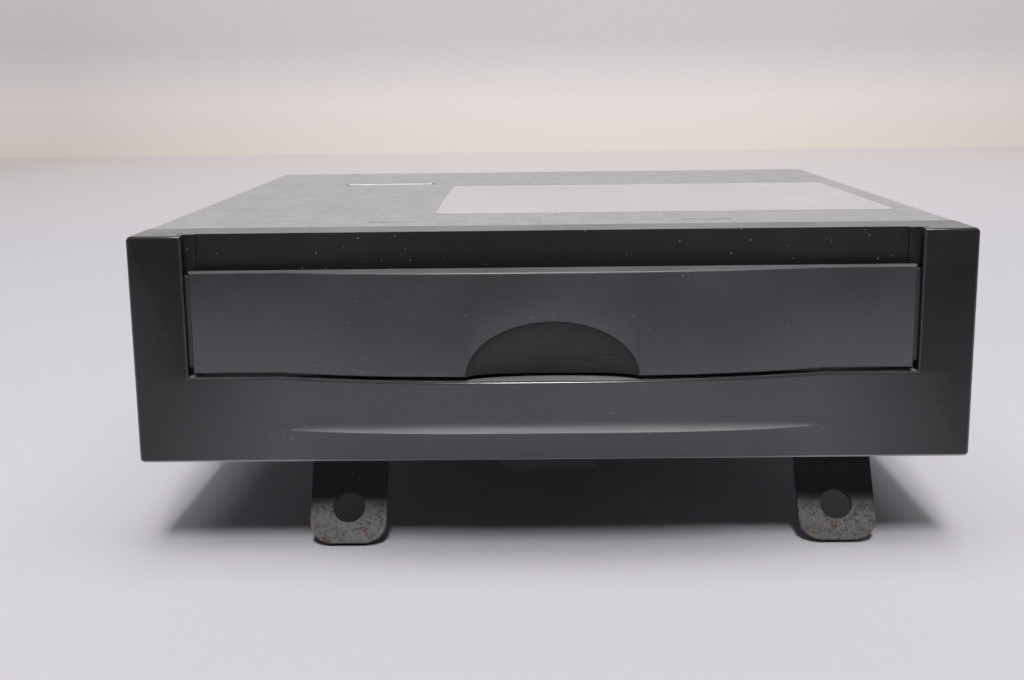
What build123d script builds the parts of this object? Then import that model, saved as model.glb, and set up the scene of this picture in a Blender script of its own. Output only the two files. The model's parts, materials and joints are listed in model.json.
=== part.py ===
from build123d import *
from math import acos, cos, pi, radians, sin, tan
import os

# A single-height car navigation disc drive: a slot-loading drive in a sheet-metal case, with a
# moulded front whose bulging shutter slides up in the pillars to uncover the disc slot.
# All lengths are in millimetres. X runs to the right, Y from the front to the back and Z up.
# While modelling, Y = 0 is the flat front face and Z = 0 the underside of the case; save() moves
# every piece to the part's origin, on the floor below the middle of the whole object.

# Case
face_width = 178.0
face_height = 49.0
bezel_depth = 15.0
case_side_step = 0.05
case_rear = 182.7
sheet = 0.8
sheet_bend = 1.2
nest_gap = 0.3
tray_flange_height = 12.0
rear_wall_inset = 0.8
rear_flange = 12.0
cover_skirt_gap = 0.6
cover_rear_lip = 7.0
cover_lip_inset = 4.0
cover_screw_inset = 20.0
cover_screw_reach = 3.0

# Slits, pressed rib and shallow pits of the cover; the setbacks count from its rear edge
cover_slit_left_x = -35.5
cover_slit_right_x = 35.4
cover_slit_from_front = 9.0
cover_slit_length = 11.2
cover_slit_width = 1.4
cover_rib_x = -46.9
cover_rib_setback = 48.7
cover_rib_length = 27.9
cover_rib_width = 3.4
cover_rib_height = 0.4
cover_rear_pit_x = 0.1
cover_rear_pit_setback = 21.7
cover_side_pit_x = 67.6
cover_side_pit_setback = 49.7
cover_pit_length = 6.0
cover_pit_width = 3.0
cover_pit_depth = 0.4

# Vents of the rear panel
vent_count = 15
vent_pitch = 4.5
vent_width = 2.0
vent_inset = 8.0
vent_above_socket = 4.1
vent_below_lip = 5.0

# Moulded front
bezel_wall = 2.2
corner_radius = 1.6
edge_radius = 0.5
pillar_width = 11.5
ledge_height = 18.6
strip_depth = 3.3
strip_width = 2.2
panel_step = 0.9
panel_wall = 2.0

# Tongues of the front that snap into windows in the case's sides
snap_thickness = 1.6
snap_length = 8.0
snap_root = 4.0
snap_low = 15.0
snap_high = 35.0
snap_window_height = 8.0
snap_window_lead = 4.0
snap_window_gap = 1.0

# Nose: the crowned part of the front, reaching out furthest along its crest
nose_half = 57.5
nose_end_step = 0.1
nose_root = 1.8
nose_section_count = 7
hollow_section_count = 5
crown_power = 1.65
nose_top_reach = 4.0
nose_lean = 0.091
flare_height = 11.2
flare_fullness = 0.15
flare_turn = 0.8
crest_reach = 8.2
crest_height = 8.4
crest_end_rise = 0.5
chin_fullness = 0.5

# Shutter
door_height = 21.9
door_wall = 2.0
door_rim = 1.6
door_side_gap = 1.1
door_ledge_gap = 0.9
tongue_thickness = 1.0
tongue_reach = 2.2
tongue_root = 1.2
tongue_inset = 1.0
guide_clearance = 0.2
scoop_half_width = 18.2
scoop_height = 11.8
scoop_depth = 4.2

# Disc slot, its frame and its dust felts
disc_radius = 60.0
disc_thickness = 1.2
disc_above_ledge = 4.9
slot_end_room = 12.8
slot_height = 4.6
slot_window_margin = 1.6
slot_frame_depth = 2.2
slot_frame_margin = 2.4
slot_frame_rim = 6.0
slot_frame_lead = 1.2
slot_frame_corner = 1.0
felt_thickness = 1.0
felt_gap = 1.6
felt_height = 3.6

# Eject button and its switch board
button_inset = 4.3
button_width = 7.0
button_height = 4.0
button_clearance = 0.25
button_proud = 1.1
button_travel = 0.8
button_edge = 0.4
button_flange = 1.0
button_flange_overlap = 0.8
button_stem_radius = 1.4
button_press_gap = 0.15
switch_size = 6.0
switch_corner = 0.6
switch_height = 3.0
switch_plunger = 1.1
switch_plunger_radius = 1.5
switch_board_setback = 7.0
switch_board_thickness = 1.2
switch_board_width = 12.0
switch_board_height = 22.0
switch_boss_radius = 1.8
switch_boss_edge = 1.0

# Mounting feet
foot_drop = 21.0
foot_slope = 33.0
foot_width = 17.0
foot_thickness = 1.6
foot_bend = 2.4
foot_corner_radius = 5.0
foot_hole_radius = 3.5
foot_hole_from_tip = 8.2
foot_left_inset = 43.45
foot_right_inset = 25.75
foot_flange = 18.0
foot_flange_corner = 2.0
foot_screw_setback = 10.8
foot_front_setback = 3.0
foot_rear_setback = 18.0

# Small screws
screw_radius = 1.4
screw_hole_clearance = 0.1
screw_head_radius = 2.8
screw_head_height = 1.6
screw_reach = 1.0

# Clip below the middle of the front
clip_width = 21.6
clip_x = -0.5
clip_drop = 4.9
clip_tuck = 5.0
clip_length = 20.0
clip_sheet = 1.2
clip_corner = 2.0
clip_screw_inset = 5.0

# Main board
board_thickness = 1.6
board_clearance = 4.2
board_corner = 2.0
board_damper_gap = 3.4
board_front_gap = 15.0
board_rear_gap = 1.6
board_screw_reach = 2.5
standoff_radius = 3.0
standoff_thread = 3.0
standoff_inset = 3.5
standoff_front_inset = 8.0
standoff_rear_inset = 21.5

# Chips and capacitors; their places are X from the middle and Y from the board's front edge
chip_draft = 8.0
chip_height = 1.4
processor_place = (-30.0, 78.0)
processor_size = 28.0
processor_height = 1.8
graphics_place = (18.0, 102.0)
graphics_size = 20.0
graphics_height = 1.6
memory_place = (22.0, 62.0)
memory_length = 14.0
memory_width = 22.0
sound_place = (52.0, 70.0)
sound_length = 18.0
sound_width = 12.0
servo_place = (-30.0, 44.0)
servo_length = 12.0
servo_width = 20.0
driver_place = (2.0, 30.0)
driver_size = 16.0
capacitor_radius = 3.2
capacitor_height = 4.2
capacitor_edge = 0.5
capacitor_pitch = 10.0
capacitor_side = 60.0
capacitor_right_count = 3
capacitor_right_from_front = 90.0
capacitor_left_count = 2
capacitor_left_from_front = 104.0
capacitor_front_count = 2
capacitor_front_x = 44.0
capacitor_front_from_front = 30.0

# Rear connectors
harness_inset = 34.0
harness_width = 52.0
harness_height = 14.0
harness_socket_depth = 10.0
harness_pin_count = 12
display_x = 15.0
display_width = 22.0
display_height = 11.0
display_socket_depth = 10.0
display_pin_count = 6
connector_wall = 2.2
connector_length = 12.0
connector_proud = 4.0
connector_corner = 0.8
key_half_width = 2.5
key_depth = 0.5
pin_pitch = 3.2
pin_size = 0.7
pin_proud = 5.0
cutout_gap = 0.3
antenna_inset = 26.0
antenna_above_board = 6.4
antenna_radius = 3.6
antenna_bore = 2.6
antenna_bore_depth = 8.0
antenna_pin_radius = 0.5
antenna_pin_recess = 2.0
antenna_proud = 6.0
antenna_base_width = 10.0
antenna_base_gap = 1.5
antenna_wall_gap = 1.0

# Drive deck, hung on four rubber dampers
deck_thickness = 1.0
deck_below_gears = 3.9
deck_front_gap = 25.0
deck_connector_gap = 1.2
deck_ear_reach = 5.4
deck_ear_root = 2.0
cheek_front_reach = 8.0
cheek_rear_reach = 10.0
cheek_above_disc = 4.5
damper_wall_gap = 0.75
damper_front_inset = 8.0
damper_rear_inset = 23.5
damper_ear_radius = 6.0
grommet_radius = 5.0
grommet_neck = 4.2
grommet_flange = 1.8
damper_post_radius = 2.4
damper_shoulder_radius = 4.0

# Disc guide over the roller
guide_thickness = 1.4
guide_arch = 1.0
guide_rear_inset = 4.0
guide_window_length = 26.0
guide_window_width = 12.0
guide_window_pitch = 36.0
guide_window_setback = 20.0

# Loading gear train, all on axes along X
gear_module = 0.5
gear_addendum = 0.85
gear_dedendum = 1.2
pressure_angle = 20.0
gear_backlash = 0.16
gear_thickness = 3.0
gear_cheek_gap = 1.8
gear_window_gap = 1.2
roller_disc_gap = 1.0
roller_to_deck = 8.0
roller_teeth = 24
idler_teeth = 30
pinion_teeth = 12
running_clearance = 0.05
shaft_end_proud = 0.6
roller_shaft_radius = 1.5
roller_end_radius = 5.4
roller_middle_radius = 4.4
roller_sleeve_length = 56.0
roller_sleeve_inset = 4.0
axle_radius = 1.0
idler_hub_radius = 2.2
motor_plate_gap = 2.0
motor_plate_foot = 6.0
motor_boss_radius = 2.6
loading_motor_radius = 7.75
loading_motor_length = 20.0
loading_motor_flat = 5.8
motor_shaft_radius = 0.75
motor_shaft_depth = 2.0
pinion_end_gap = 0.2

# Spindle, turntable and clamp
spindle_from_deck_rear = 73.5
spindle_motor_radius = 12.0
spindle_motor_height = 5.0
spindle_motor_edge = 0.6
spindle_shaft_radius = 1.0
spindle_shaft_lift = 1.2
turntable_radius = 14.5
turntable_thickness = 1.6
hub_radius = 7.0
hub_height = 1.7
hub_taper = 1.0
clamp_plate = 1.0
clamp_above_disc = 3.5
clamp_hinge_reach = 56.0
clamp_hinge_above_disc = 1.0
clamp_hinge_half = 41.4
clamp_ear_half = 6.0
clamp_ear_rise = 3.0
clamp_ear_drop = 2.4
clamp_ear_setback = 1.0
clamp_rear_reach = 4.0
clamp_corner = 3.0
clamp_nose_half = 16.0
clamp_nose_reach = 14.0
clamp_window_width = 34.0
clamp_window_length = 16.0
clamp_window_angle = 60.0
clamp_window_setback = 20.0
clamper_radius = 11.0
clamper_flange_radius = 14.0
clamper_flange = 1.2
clamper_neck = 1.0
clamper_gap = 0.5
clamper_disc_gap = 0.5
clamper_hub_gap = 0.6

# Pickup sled
rod_radius = 1.5
rod_x = 18.0
rod_above_deck = 3.4
sled_from_spindle = 15.0
sled_length = 18.0
sled_travel = 34.0
sled_half_width = 21.0
sled_height = 6.0
sled_corner = 2.0
sled_rail = 8.0
sled_rim = 3.0
sled_pocket_depth = 2.0
window_margin = 2.5
window_lead = 2.0
window_end_gap = 1.5
screw_from_sled = 9.0
lead_screw_radius = 1.4
screw_journal_radius = 0.98
screw_journal_length = 3.0
thread_end_gap = 1.2
sled_motor_radius = 6.2
sled_motor_length = 12.0
sled_motor_edge = 0.5
sled_motor_gap = 0.6
sled_motor_setback = 7.0
sled_motor_tab = 4.0
sled_motor_bore_gap = 0.4
finger_gap = 0.3
finger_setback = 2.0
finger_width = 5.0
finger_half_height = 1.4
holder_length = 4.0
holder_half_width = 3.0
holder_rise = 2.6
holder_corner = 1.5
screw_holder_length = 3.0
screw_holder_setback = 5.0
rod_end_setback = 6.0
lens_radius = 2.2
lens_height = 1.6
lens_holder_half_width = 7.0
lens_holder_half_length = 5.5
lens_holder_thickness = 1.2
lens_holder_corner = 1.5

# How far a cut runs past the piece that it opens
overrun = 1.0

# Places that follow from the sizes above
face_half = face_width / 2
case_half = face_half - case_side_step
recess_half = face_half - pillar_width
panel_depth = strip_depth + panel_step
panel_half = recess_half - strip_width
panel_back = panel_depth + panel_wall
door_half = recess_half - door_side_gap
door_bottom = ledge_height + door_ledge_gap
door_top = door_bottom + door_height
disc_plane = ledge_height + disc_above_ledge
disc_underside = disc_plane - disc_thickness / 2
slot_width = 2 * (panel_half - slot_end_room)
button_x = panel_half - button_inset
cover_inside = case_half - sheet
tray_half = cover_inside - nest_gap
rear_wall_y = case_rear - rear_wall_inset
foot_left_x = foot_left_inset - case_half
foot_right_x = case_half - foot_right_inset
foot_front_bend = bezel_depth + foot_front_setback
foot_rear_bend = case_rear - foot_rear_setback
clip_front = bezel_depth - clip_tuck
clip_rear = clip_front + clip_length

# Levels inside, from the main board up through the deck and the disc
board_level = sheet + board_clearance
board_top = board_level + board_thickness
antenna_z = board_top + antenna_above_board
vent_bottom = board_top + harness_height + cutout_gap + vent_above_socket
vent_top = face_height - cover_rear_lip - vent_below_lip
gear_axis_z = disc_underside - roller_end_radius - roller_disc_gap
deck_level = gear_axis_z - deck_below_gears
deck_top = deck_level + deck_thickness
rod_z = deck_top + rod_above_deck
clamp_hinge_z = disc_plane + clamp_hinge_above_disc
clamp_level = disc_plane + clamp_above_disc
cheek_top = disc_plane + cheek_above_disc

# Places across and along the inside, set out from the case's walls
damper_x = cover_inside - damper_ear_radius - damper_wall_gap
deck_half_width = damper_x - deck_ear_reach
deck_front = bezel_depth + deck_front_gap
deck_rear = case_rear + connector_proud - connector_length - deck_connector_gap
damper_front = deck_front + damper_front_inset
damper_rear = deck_rear - damper_rear_inset
board_half_width = damper_x - damper_shoulder_radius - board_damper_gap
harness_x = harness_inset - board_half_width
antenna_x = board_half_width - antenna_inset
board_front = bezel_depth + board_front_gap
board_rear = rear_wall_y - sheet - board_rear_gap
standoff_side = board_half_width - standoff_inset
standoff_front = board_front + standoff_front_inset
standoff_rear = board_rear - standoff_rear_inset
roller_y = deck_front - roller_to_deck
idler_y = roller_y + gear_module * (roller_teeth + idler_teeth) / 2
pinion_y = idler_y + gear_module * (idler_teeth + pinion_teeth) / 2
gear_x = -(deck_half_width - sheet - gear_cheek_gap)
motor_plate_x = gear_x + gear_thickness + motor_plate_gap
cheek_front = roller_y - cheek_front_reach
cheek_rear = pinion_y + cheek_rear_reach
guide_rear = cheek_rear - guide_rear_inset
disc_centre = deck_rear - spindle_from_deck_rear
clamp_hinge_y = disc_centre + clamp_hinge_reach
clamp_nose_front = disc_centre - clamp_nose_reach
sled_front = disc_centre + sled_from_spindle
screw_x = -(sled_half_width + screw_from_sled)
rear_reach = case_rear + antenna_proud
middle_y = (rear_reach - crest_reach) / 2


def save(node, piece):
    # Moves a piece from the modelling frame to the part's own origin and writes it.
    os.makedirs("parts", exist_ok=True)
    export_step(Pos(0, -middle_y, foot_drop) * piece, "parts/" + node + ".step")


def block(x0, x1, y0, y1, z0, z1):
    size = Box(x1 - x0, y1 - y0, z1 - z0)
    return Pos((x0 + x1) / 2, (y0 + y1) / 2, (z0 + z1) / 2) * size


def post(x, y, z0, z1, radius):
    return Pos(x, y, (z0 + z1) / 2) * Cylinder(radius, z1 - z0)


def rod_along_x(x0, x1, y, z, radius):
    return Pos((x0 + x1) / 2, y, z) * Rot(0, 90, 0) * Cylinder(radius, x1 - x0)


def rod_along_y(x, y0, y1, z, radius):
    return Pos(x, (y0 + y1) / 2, z) * Rot(90, 0, 0) * Cylinder(radius, y1 - y0)


def both_sides(piece):
    return piece + mirror(piece, Plane.YZ)


def folded_face(points, thickness, bend):
    # Section of a folded sheet whose middle line runs through the points.
    corners = [Vector(*point) for point in points]
    runs = [(after - before).normalized() for before, after in zip(corners, corners[1:])]
    normals = [Vector(-run.Y, run.X) for run in runs]

    def side(distance):
        line = [corners[0] + normals[0] * distance]
        radii = []
        for corner, before, after, run in zip(corners[1:-1], normals, normals[1:], runs):
            line.append(corner + (before + after) * (distance / (1 + before.dot(after))))
            turns_left = run.dot(after) < 0
            radii.append(bend - distance if turns_left else bend + distance)
        line.append(corners[-1] + normals[-1] * distance)
        return FilletPolyline(*line, radius=radii)

    left = side(thickness / 2)
    right = side(-thickness / 2)
    return make_face(left + Line(left @ 1, right @ 1) + right + Line(right @ 0, left @ 0))


def folded_along_y(points, thickness, bend, y0, y1):
    # The points are X and Z, and the sheet runs from y0 to y1.
    plane = Plane(origin=(0, y1, 0), x_dir=(1, 0, 0), z_dir=(0, -1, 0))
    return extrude(plane * folded_face(points, thickness, bend), y1 - y0)


def folded_along_x(points, thickness, bend, x0, x1):
    # The points are Y and Z, and the sheet runs from x0 to x1.
    plane = Plane(origin=(x0, 0, 0), x_dir=(0, 1, 0), z_dir=(1, 0, 0))
    return extrude(plane * folded_face(points, thickness, bend), x1 - x0)


def pan_screw(shank_length):
    # Head above Z = 0 and shank below, to be turned to its own direction.
    head = Pos(0, 0, screw_head_height / 2) * Cylinder(screw_head_radius, screw_head_height)
    head = fillet(head.edges().group_by(Axis.Z)[-1], screw_head_height / 3)
    return head + Pos(0, 0, -shank_length / 2) * Cylinder(screw_radius, shank_length)


def screw_hole(length):
    return Cylinder(screw_radius + screw_hole_clearance, length)


# Front moulding

def crown(x):
    # Share of the full reach at a place across the nose, from 1 in the middle to 0 at its ends.
    return cos(pi / 2 * min(1.0, abs(x) / nose_half) ** crown_power)


def reach(z):
    return nose_top_reach + nose_lean * (door_top - z)


def across(half, count):
    # Places of the sections across the nose, closer together towards its ends.
    return [(half - nose_end_step) * sin(pi / 2 * step / count) for step in range(-count, count + 1)]


def nose_section(x, skin):
    # Closed Y-Z outline of the nose below the ledge; skin draws it in for the hollow behind.
    share = crown(x)
    back = bezel_wall + nose_root
    top = ledge_height - skin
    crest_z = crest_height + crest_end_rise * (1 - share) + skin / 5
    foot = (skin * 1.4, skin)
    ledge_point = (skin - reach(ledge_height) * share, top)
    flare_point = (skin - reach(flare_height) * share, flare_height)
    flare_bend = (skin - (reach(flare_height) + flare_fullness) * share, crest_z + flare_turn)
    crest_point = (skin * 1.6 - crest_reach * share, crest_z)
    chin_bend = ((crest_point[0] + foot[0]) / 2 - chin_fullness * share, (crest_z + foot[1]) / 2)
    outline = (
        Line((back, top), ledge_point)
        + Line(ledge_point, flare_point)
        + Bezier(flare_point, flare_bend, crest_point)
        + Bezier(crest_point, chin_bend, foot)
        + Line(foot, (back, foot[1]))
        + Line((back, foot[1]), (back, top))
    )
    return Plane(origin=(x, 0, 0), x_dir=(0, 1, 0), z_dir=(1, 0, 0)) * make_face(outline)


def door_section(x, skin, z0, z1):
    # Closed Y-Z outline of the bulge of the shutter, from the flat back of its skin forwards.
    share = crown(x)
    corners = [
        (door_wall, z0),
        (skin - reach(z0) * share, z0),
        (skin - reach(z1) * share, z1),
        (door_wall, z1),
    ]
    plane = Plane(origin=(x, 0, 0), x_dir=(0, 1, 0), z_dir=(1, 0, 0))
    return plane * make_face(Polyline(*corners, close=True))


def slot_opening(front_y, back_y, front_margin, back_margin):
    # Funnel of the disc slot, narrowing from its front to its back.
    def mouth(y, margin):
        plane = Plane(origin=(0, y, disc_plane), x_dir=(1, 0, 0), z_dir=(0, 1, 0))
        return plane * Rectangle(slot_width + 2 * margin, slot_height + 2 * margin)

    return loft([mouth(front_y, front_margin), mouth(back_y, back_margin)], ruled=True)


def button_outline(margin):
    size = (button_width + 2 * margin, button_height + 2 * margin)
    return RectangleRounded(*size, radius=min(size) / 4)


def button_prism(y0, y1, margin):
    plane = Plane(origin=(button_x, y0, disc_plane), x_dir=(-1, 0, 0), z_dir=(0, 1, 0))
    return extrude(plane * button_outline(margin), y1 - y0)


def make_front_bezel():
    body = block(-face_half, face_half, 0, bezel_depth, 0, face_height)
    body = fillet(body.edges().filter_by(Axis.Y), corner_radius)
    body = fillet(body.faces().sort_by(Axis.Y)[0].edges(), edge_radius)
    body += loft([nose_section(x, 0) for x in across(nose_half, nose_section_count)])

    above = face_height + overrun
    body -= block(-recess_half, recess_half, -crest_reach, strip_depth, ledge_height, above)
    body -= block(-panel_half, panel_half, 0, panel_depth, ledge_height, above)

    # Upright slots in the pillars' inner walls that guide the shutter's tongues.
    slot_front = door_wall - guide_clearance
    slot_back = door_wall + tongue_thickness + guide_clearance
    slot_end = door_half + tongue_reach + guide_clearance
    body -= both_sides(block(recess_half - overrun, slot_end, slot_front, slot_back, ledge_height, above))

    # Hollow from the back: behind the panel, in the pillars, and in the foot with its nose.
    hollow_half = face_half - bezel_wall
    hollow_top = face_height - bezel_wall
    pillar_hollow = slot_end + bezel_wall / 2
    pillar = block(pillar_hollow, hollow_half, bezel_wall, bezel_depth, bezel_wall, hollow_top)
    body -= block(-hollow_half, hollow_half, panel_back, bezel_depth, bezel_wall, hollow_top)
    body -= both_sides(pillar)
    low_top = ledge_height - bezel_wall
    body -= block(-hollow_half, hollow_half, bezel_wall, bezel_depth, bezel_wall, low_top)
    hollow_places = across(nose_half - bezel_wall * 2, hollow_section_count)
    body -= loft([nose_section(x, bezel_wall) for x in hollow_places])

    front, rear = panel_depth - overrun, panel_back + overrun
    body -= slot_opening(front, rear, slot_window_margin, slot_window_margin)
    body -= button_prism(front, rear, button_clearance)

    # Bosses for the switch board, and the tongues that snap into the case's sides.
    for boss_z in switch_boss_heights():
        root_y = panel_back - panel_wall / 4
        body += rod_along_y(button_x, root_y, switch_board_y(), boss_z, switch_boss_radius)
    outer = cover_inside - nest_gap
    inner = outer - snap_thickness
    root_front = bezel_depth - snap_root
    snap = block(inner, outer, root_front, bezel_depth + snap_length, snap_low, snap_high)
    root = block(inner, face_half - bezel_wall / 2, root_front, bezel_depth, snap_low, snap_high)
    body += both_sides(snap + root)
    return body


def switch_board_y():
    # Front face of the switch board, so that the pressed stem stops just short of the plunger.
    return panel_back + switch_board_setback


def switch_boss_heights():
    edge = switch_boss_radius + switch_boss_edge
    return [
        disc_plane + switch_board_height / 2 - edge,
        disc_plane - switch_board_height / 2 + edge,
    ]


def make_front_door():
    z0, z1 = door_bottom, door_top
    slab = block(-door_half, door_half, 0, door_wall, z0, z1)
    slab = fillet(slab.edges().filter_by(Axis.Y), edge_radius)
    body = slab + loft([door_section(x, 0, z0, z1) for x in across(nose_half, nose_section_count)])
    pocket_places = across(nose_half - door_wall * 2, hollow_section_count)
    pocket = loft([door_section(x, door_wall, z0 + door_rim, z1 - door_rim) for x in pocket_places])

    # Finger scoop, deepest at the lower edge, with the wall behind it kept whole.
    scoop_place = Pos(0, -reach(z0), z0)
    scoop = scoop_place * scale(Sphere(1), by=(scoop_half_width, scoop_depth, scoop_height))
    scoop_size = (scoop_half_width + door_wall, scoop_depth + door_wall, scoop_height + door_wall)
    scoop_back = scoop_place * scale(Sphere(1), by=scoop_size)
    body = body - (pocket - scoop_back) - scoop

    root = door_half - tongue_root
    end = door_half + tongue_reach
    back = door_wall + tongue_thickness
    tongue = block(root, end, door_wall, back, z0 + tongue_inset, z1 - tongue_inset)
    return body + both_sides(tongue)


def make_slot_frame():
    half = slot_width / 2 + slot_frame_margin
    half_height = slot_height / 2 + slot_frame_rim
    y1 = panel_back + slot_frame_depth
    frame = block(-half, half, panel_back, y1, disc_plane - half_height, disc_plane + half_height)
    frame = fillet(frame.edges().filter_by(Axis.Y), slot_frame_corner)
    return frame - slot_opening(panel_back, y1, slot_frame_lead, 0.0)


def make_slot_felts():
    y0 = panel_back + slot_frame_depth
    half = slot_width / 2 + slot_frame_margin / 2
    low = disc_plane + felt_gap / 2
    upper = block(-half, half, y0, y0 + felt_thickness, low, low + felt_height)
    lower = mirror(upper, Plane.XY.offset(disc_plane))
    return Compound([upper, lower])


def make_eject_button():
    front = panel_depth - button_proud
    flange_y = panel_back + nest_gap
    cap = button_prism(front, flange_y + button_flange, 0)
    cap = fillet(cap.faces().sort_by(Axis.Y)[0].edges(), button_edge)
    flange_margin = button_clearance + button_flange_overlap
    flange = button_prism(flange_y, flange_y + button_flange, flange_margin)
    stem_end = switch_front_y() - button_travel - button_press_gap
    stem = rod_along_y(button_x, flange_y, stem_end, disc_plane, button_stem_radius)
    return cap + flange + stem


def switch_front_y():
    return switch_board_y() - switch_height - switch_plunger


def make_switch_board():
    half_w = switch_board_width / 2
    half_h = switch_board_height / 2
    y0 = switch_board_y()
    y1 = y0 + switch_board_thickness
    return block(button_x - half_w, button_x + half_w, y0, y1, disc_plane - half_h, disc_plane + half_h)


def make_eject_switch():
    half = switch_size / 2
    y1 = switch_board_y()
    y0 = y1 - switch_height
    can = block(button_x - half, button_x + half, y0, y1, disc_plane - half, disc_plane + half)
    can = fillet(can.edges().filter_by(Axis.Y), switch_corner)
    return can + rod_along_y(button_x, y0 - switch_plunger, y0, disc_plane, switch_plunger_radius)


def make_bezel_clip():
    # Folded tongue on the case's underside, hanging below the middle of the front.
    middle = -clip_sheet / 2
    drop_y = clip_front + clip_sheet / 2
    points = [(clip_rear, middle), (drop_y, middle), (drop_y, -clip_drop)]
    half = clip_width / 2
    clip = folded_along_x(points, clip_sheet, clip_sheet, clip_x - half, clip_x + half)
    tip_edges = clip.edges().filter_by(Axis.Y).group_by(Axis.Z)[0]
    clip = fillet(tip_edges, clip_corner)
    for x, y in clip_screw_places():
        clip -= Pos(x, y, middle) * screw_hole(clip_sheet * 2)
    return clip


def clip_screw_places():
    return [(clip_x + side * clip_width / 4, clip_rear - clip_screw_inset) for side in (-1, 1)]


# Case

def cover_slit_places():
    y = bezel_depth + cover_slit_from_front
    return [(cover_slit_left_x, y), (cover_slit_right_x, y)]


def cover_pit_places():
    return [
        (cover_rear_pit_x, case_rear - cover_rear_pit_setback),
        (cover_side_pit_x, case_rear - cover_side_pit_setback),
    ]


def make_top_cover():
    top = face_height - sheet / 2
    wall = case_half - sheet / 2
    points = [(-wall, cover_skirt_gap), (-wall, top), (wall, top), (wall, cover_skirt_gap)]
    cover = folded_along_y(points, sheet, sheet_bend, bezel_depth, case_rear)
    lip = wall - cover_lip_inset
    cover += block(-lip, lip, rear_wall_y, case_rear, face_height - cover_rear_lip, top)

    for x, y in cover_slit_places():
        slit = extrude(SlotOverall(cover_slit_length, cover_slit_width), sheet, both=True)
        cover -= Pos(x, y, top) * slit
    for x, y in cover_pit_places():
        pit = SlotOverall(cover_pit_length, cover_pit_width)
        cover -= Pos(x, y, face_height - cover_pit_depth) * extrude(pit, cover_pit_depth)
    rib = extrude(SlotOverall(cover_rib_length, cover_rib_width), cover_rib_height + sheet / 2)
    rib = fillet(rib.edges().group_by(Axis.Z)[-1], cover_rib_height * 0.9)
    cover += Pos(cover_rib_x, case_rear - cover_rib_setback, top) * rib

    # Windows for the front moulding's snap tongues, and holes for the rear screws.
    snap_end = bezel_depth + snap_length
    low = (snap_low + snap_high - snap_window_height) / 2
    high = low + snap_window_height
    window_front = snap_end - snap_window_lead
    window_rear = snap_end + snap_window_gap
    inner, outer = cover_inside - overrun, case_half + overrun
    cover -= both_sides(block(inner, outer, window_front, window_rear, low, high))
    for x in cover_screw_places():
        place = Pos(x, (rear_wall_y + case_rear) / 2, cover_screw_z())
        cover -= place * Rot(90, 0, 0) * screw_hole(sheet * 3)
    return cover


def cover_screw_places():
    spread = case_half - cover_screw_inset
    return [-spread, 0, spread]


def cover_screw_z():
    return face_height - cover_rear_lip / 2 - sheet / 2


def make_chassis_tray():
    wall = tray_half - sheet / 2
    floor = sheet / 2
    points = [(-wall, tray_flange_height), (-wall, floor), (wall, floor), (wall, tray_flange_height)]
    tray_rear = rear_wall_y - sheet - nest_gap
    tray = folded_along_y(points, sheet, sheet_bend, bezel_depth + nest_gap, tray_rear)
    for foot in foot_places():
        for x, y in foot_screw_places(*foot):
            tray -= Pos(x, y, 0) * screw_hole(sheet * 3)
    for x, y in clip_screw_places():
        tray -= Pos(x, y, 0) * screw_hole(sheet * 3)
    for x, y in damper_places():
        tray -= post(x, y, -overrun, sheet + overrun, damper_post_radius / 2)
    return tray


def make_rear_panel():
    wall_y = rear_wall_y - sheet / 2
    flange_z = sheet * 1.5
    flange_front = rear_wall_y - rear_flange
    panel_top = face_height - sheet - nest_gap
    points = [(flange_front, flange_z), (wall_y, flange_z), (wall_y, panel_top)]
    half = tray_half - sheet - sheet_bend - nest_gap
    panel = folded_along_x(points, sheet, sheet_bend, -half, half)

    front = rear_wall_y - sheet - overrun
    rear = rear_wall_y + overrun
    low = board_top - cutout_gap
    for x, width, height in connector_sizes():
        reach_out = width / 2 + cutout_gap
        panel -= block(x - reach_out, x + reach_out, front, rear, low, board_top + height + cutout_gap)
    panel -= rod_along_y(antenna_x, front, rear, antenna_z, antenna_radius + cutout_gap)
    vent = SlotOverall(vent_top - vent_bottom, vent_width, rotation=90)
    for column in range(vent_count):
        x = vent_inset - board_half_width + column * vent_pitch
        middle = (vent_top + vent_bottom) / 2
        plane = Plane(origin=(x, front, middle), x_dir=(1, 0, 0), z_dir=(0, 1, 0))
        panel -= extrude(plane * vent, rear - front)
    for x in cover_screw_places():
        panel -= Pos(x, wall_y, cover_screw_z()) * Rot(90, 0, 0) * screw_hole(sheet * 3)
    return panel


def connector_sizes():
    return [
        (harness_x, harness_width, harness_height),
        (display_x, display_width, display_height),
    ]


def make_cover_screws():
    screws = []
    for x in cover_screw_places():
        place = Pos(x, case_rear, cover_screw_z())
        screws.append(place * Rot(-90, 0, 0) * pan_screw(sheet * 2 + cover_screw_reach))
    return Compound(screws)


# Mounting feet

def foot_places():
    # X, the Y of the bend and the way the leg slopes: -1 forwards, 1 backwards.
    return [
        (foot_left_x, foot_front_bend, -1),
        (foot_right_x, foot_front_bend, -1),
        (foot_left_x, foot_rear_bend, 1),
        (foot_right_x, foot_rear_bend, 1),
    ]


def foot_screw_places(x, bend_y, heading):
    spread = foot_width / 4
    y = bend_y - heading * foot_screw_setback
    return [(x - spread, y), (x + spread, y)]


def foot_hole_place(x, bend_y, heading):
    # Middle of the leg's hole, and the direction in which its bolt is drawn out.
    slope = radians(foot_slope)
    tip_z = foot_thickness / 2 * sin(slope) - foot_drop
    hole_z = tip_z + foot_hole_from_tip * cos(slope)
    hole_y = bend_y + heading * (-foot_thickness / 2 - hole_z) * tan(slope)
    return (x, hole_y, hole_z), (0, heading * cos(slope), sin(slope))


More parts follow.
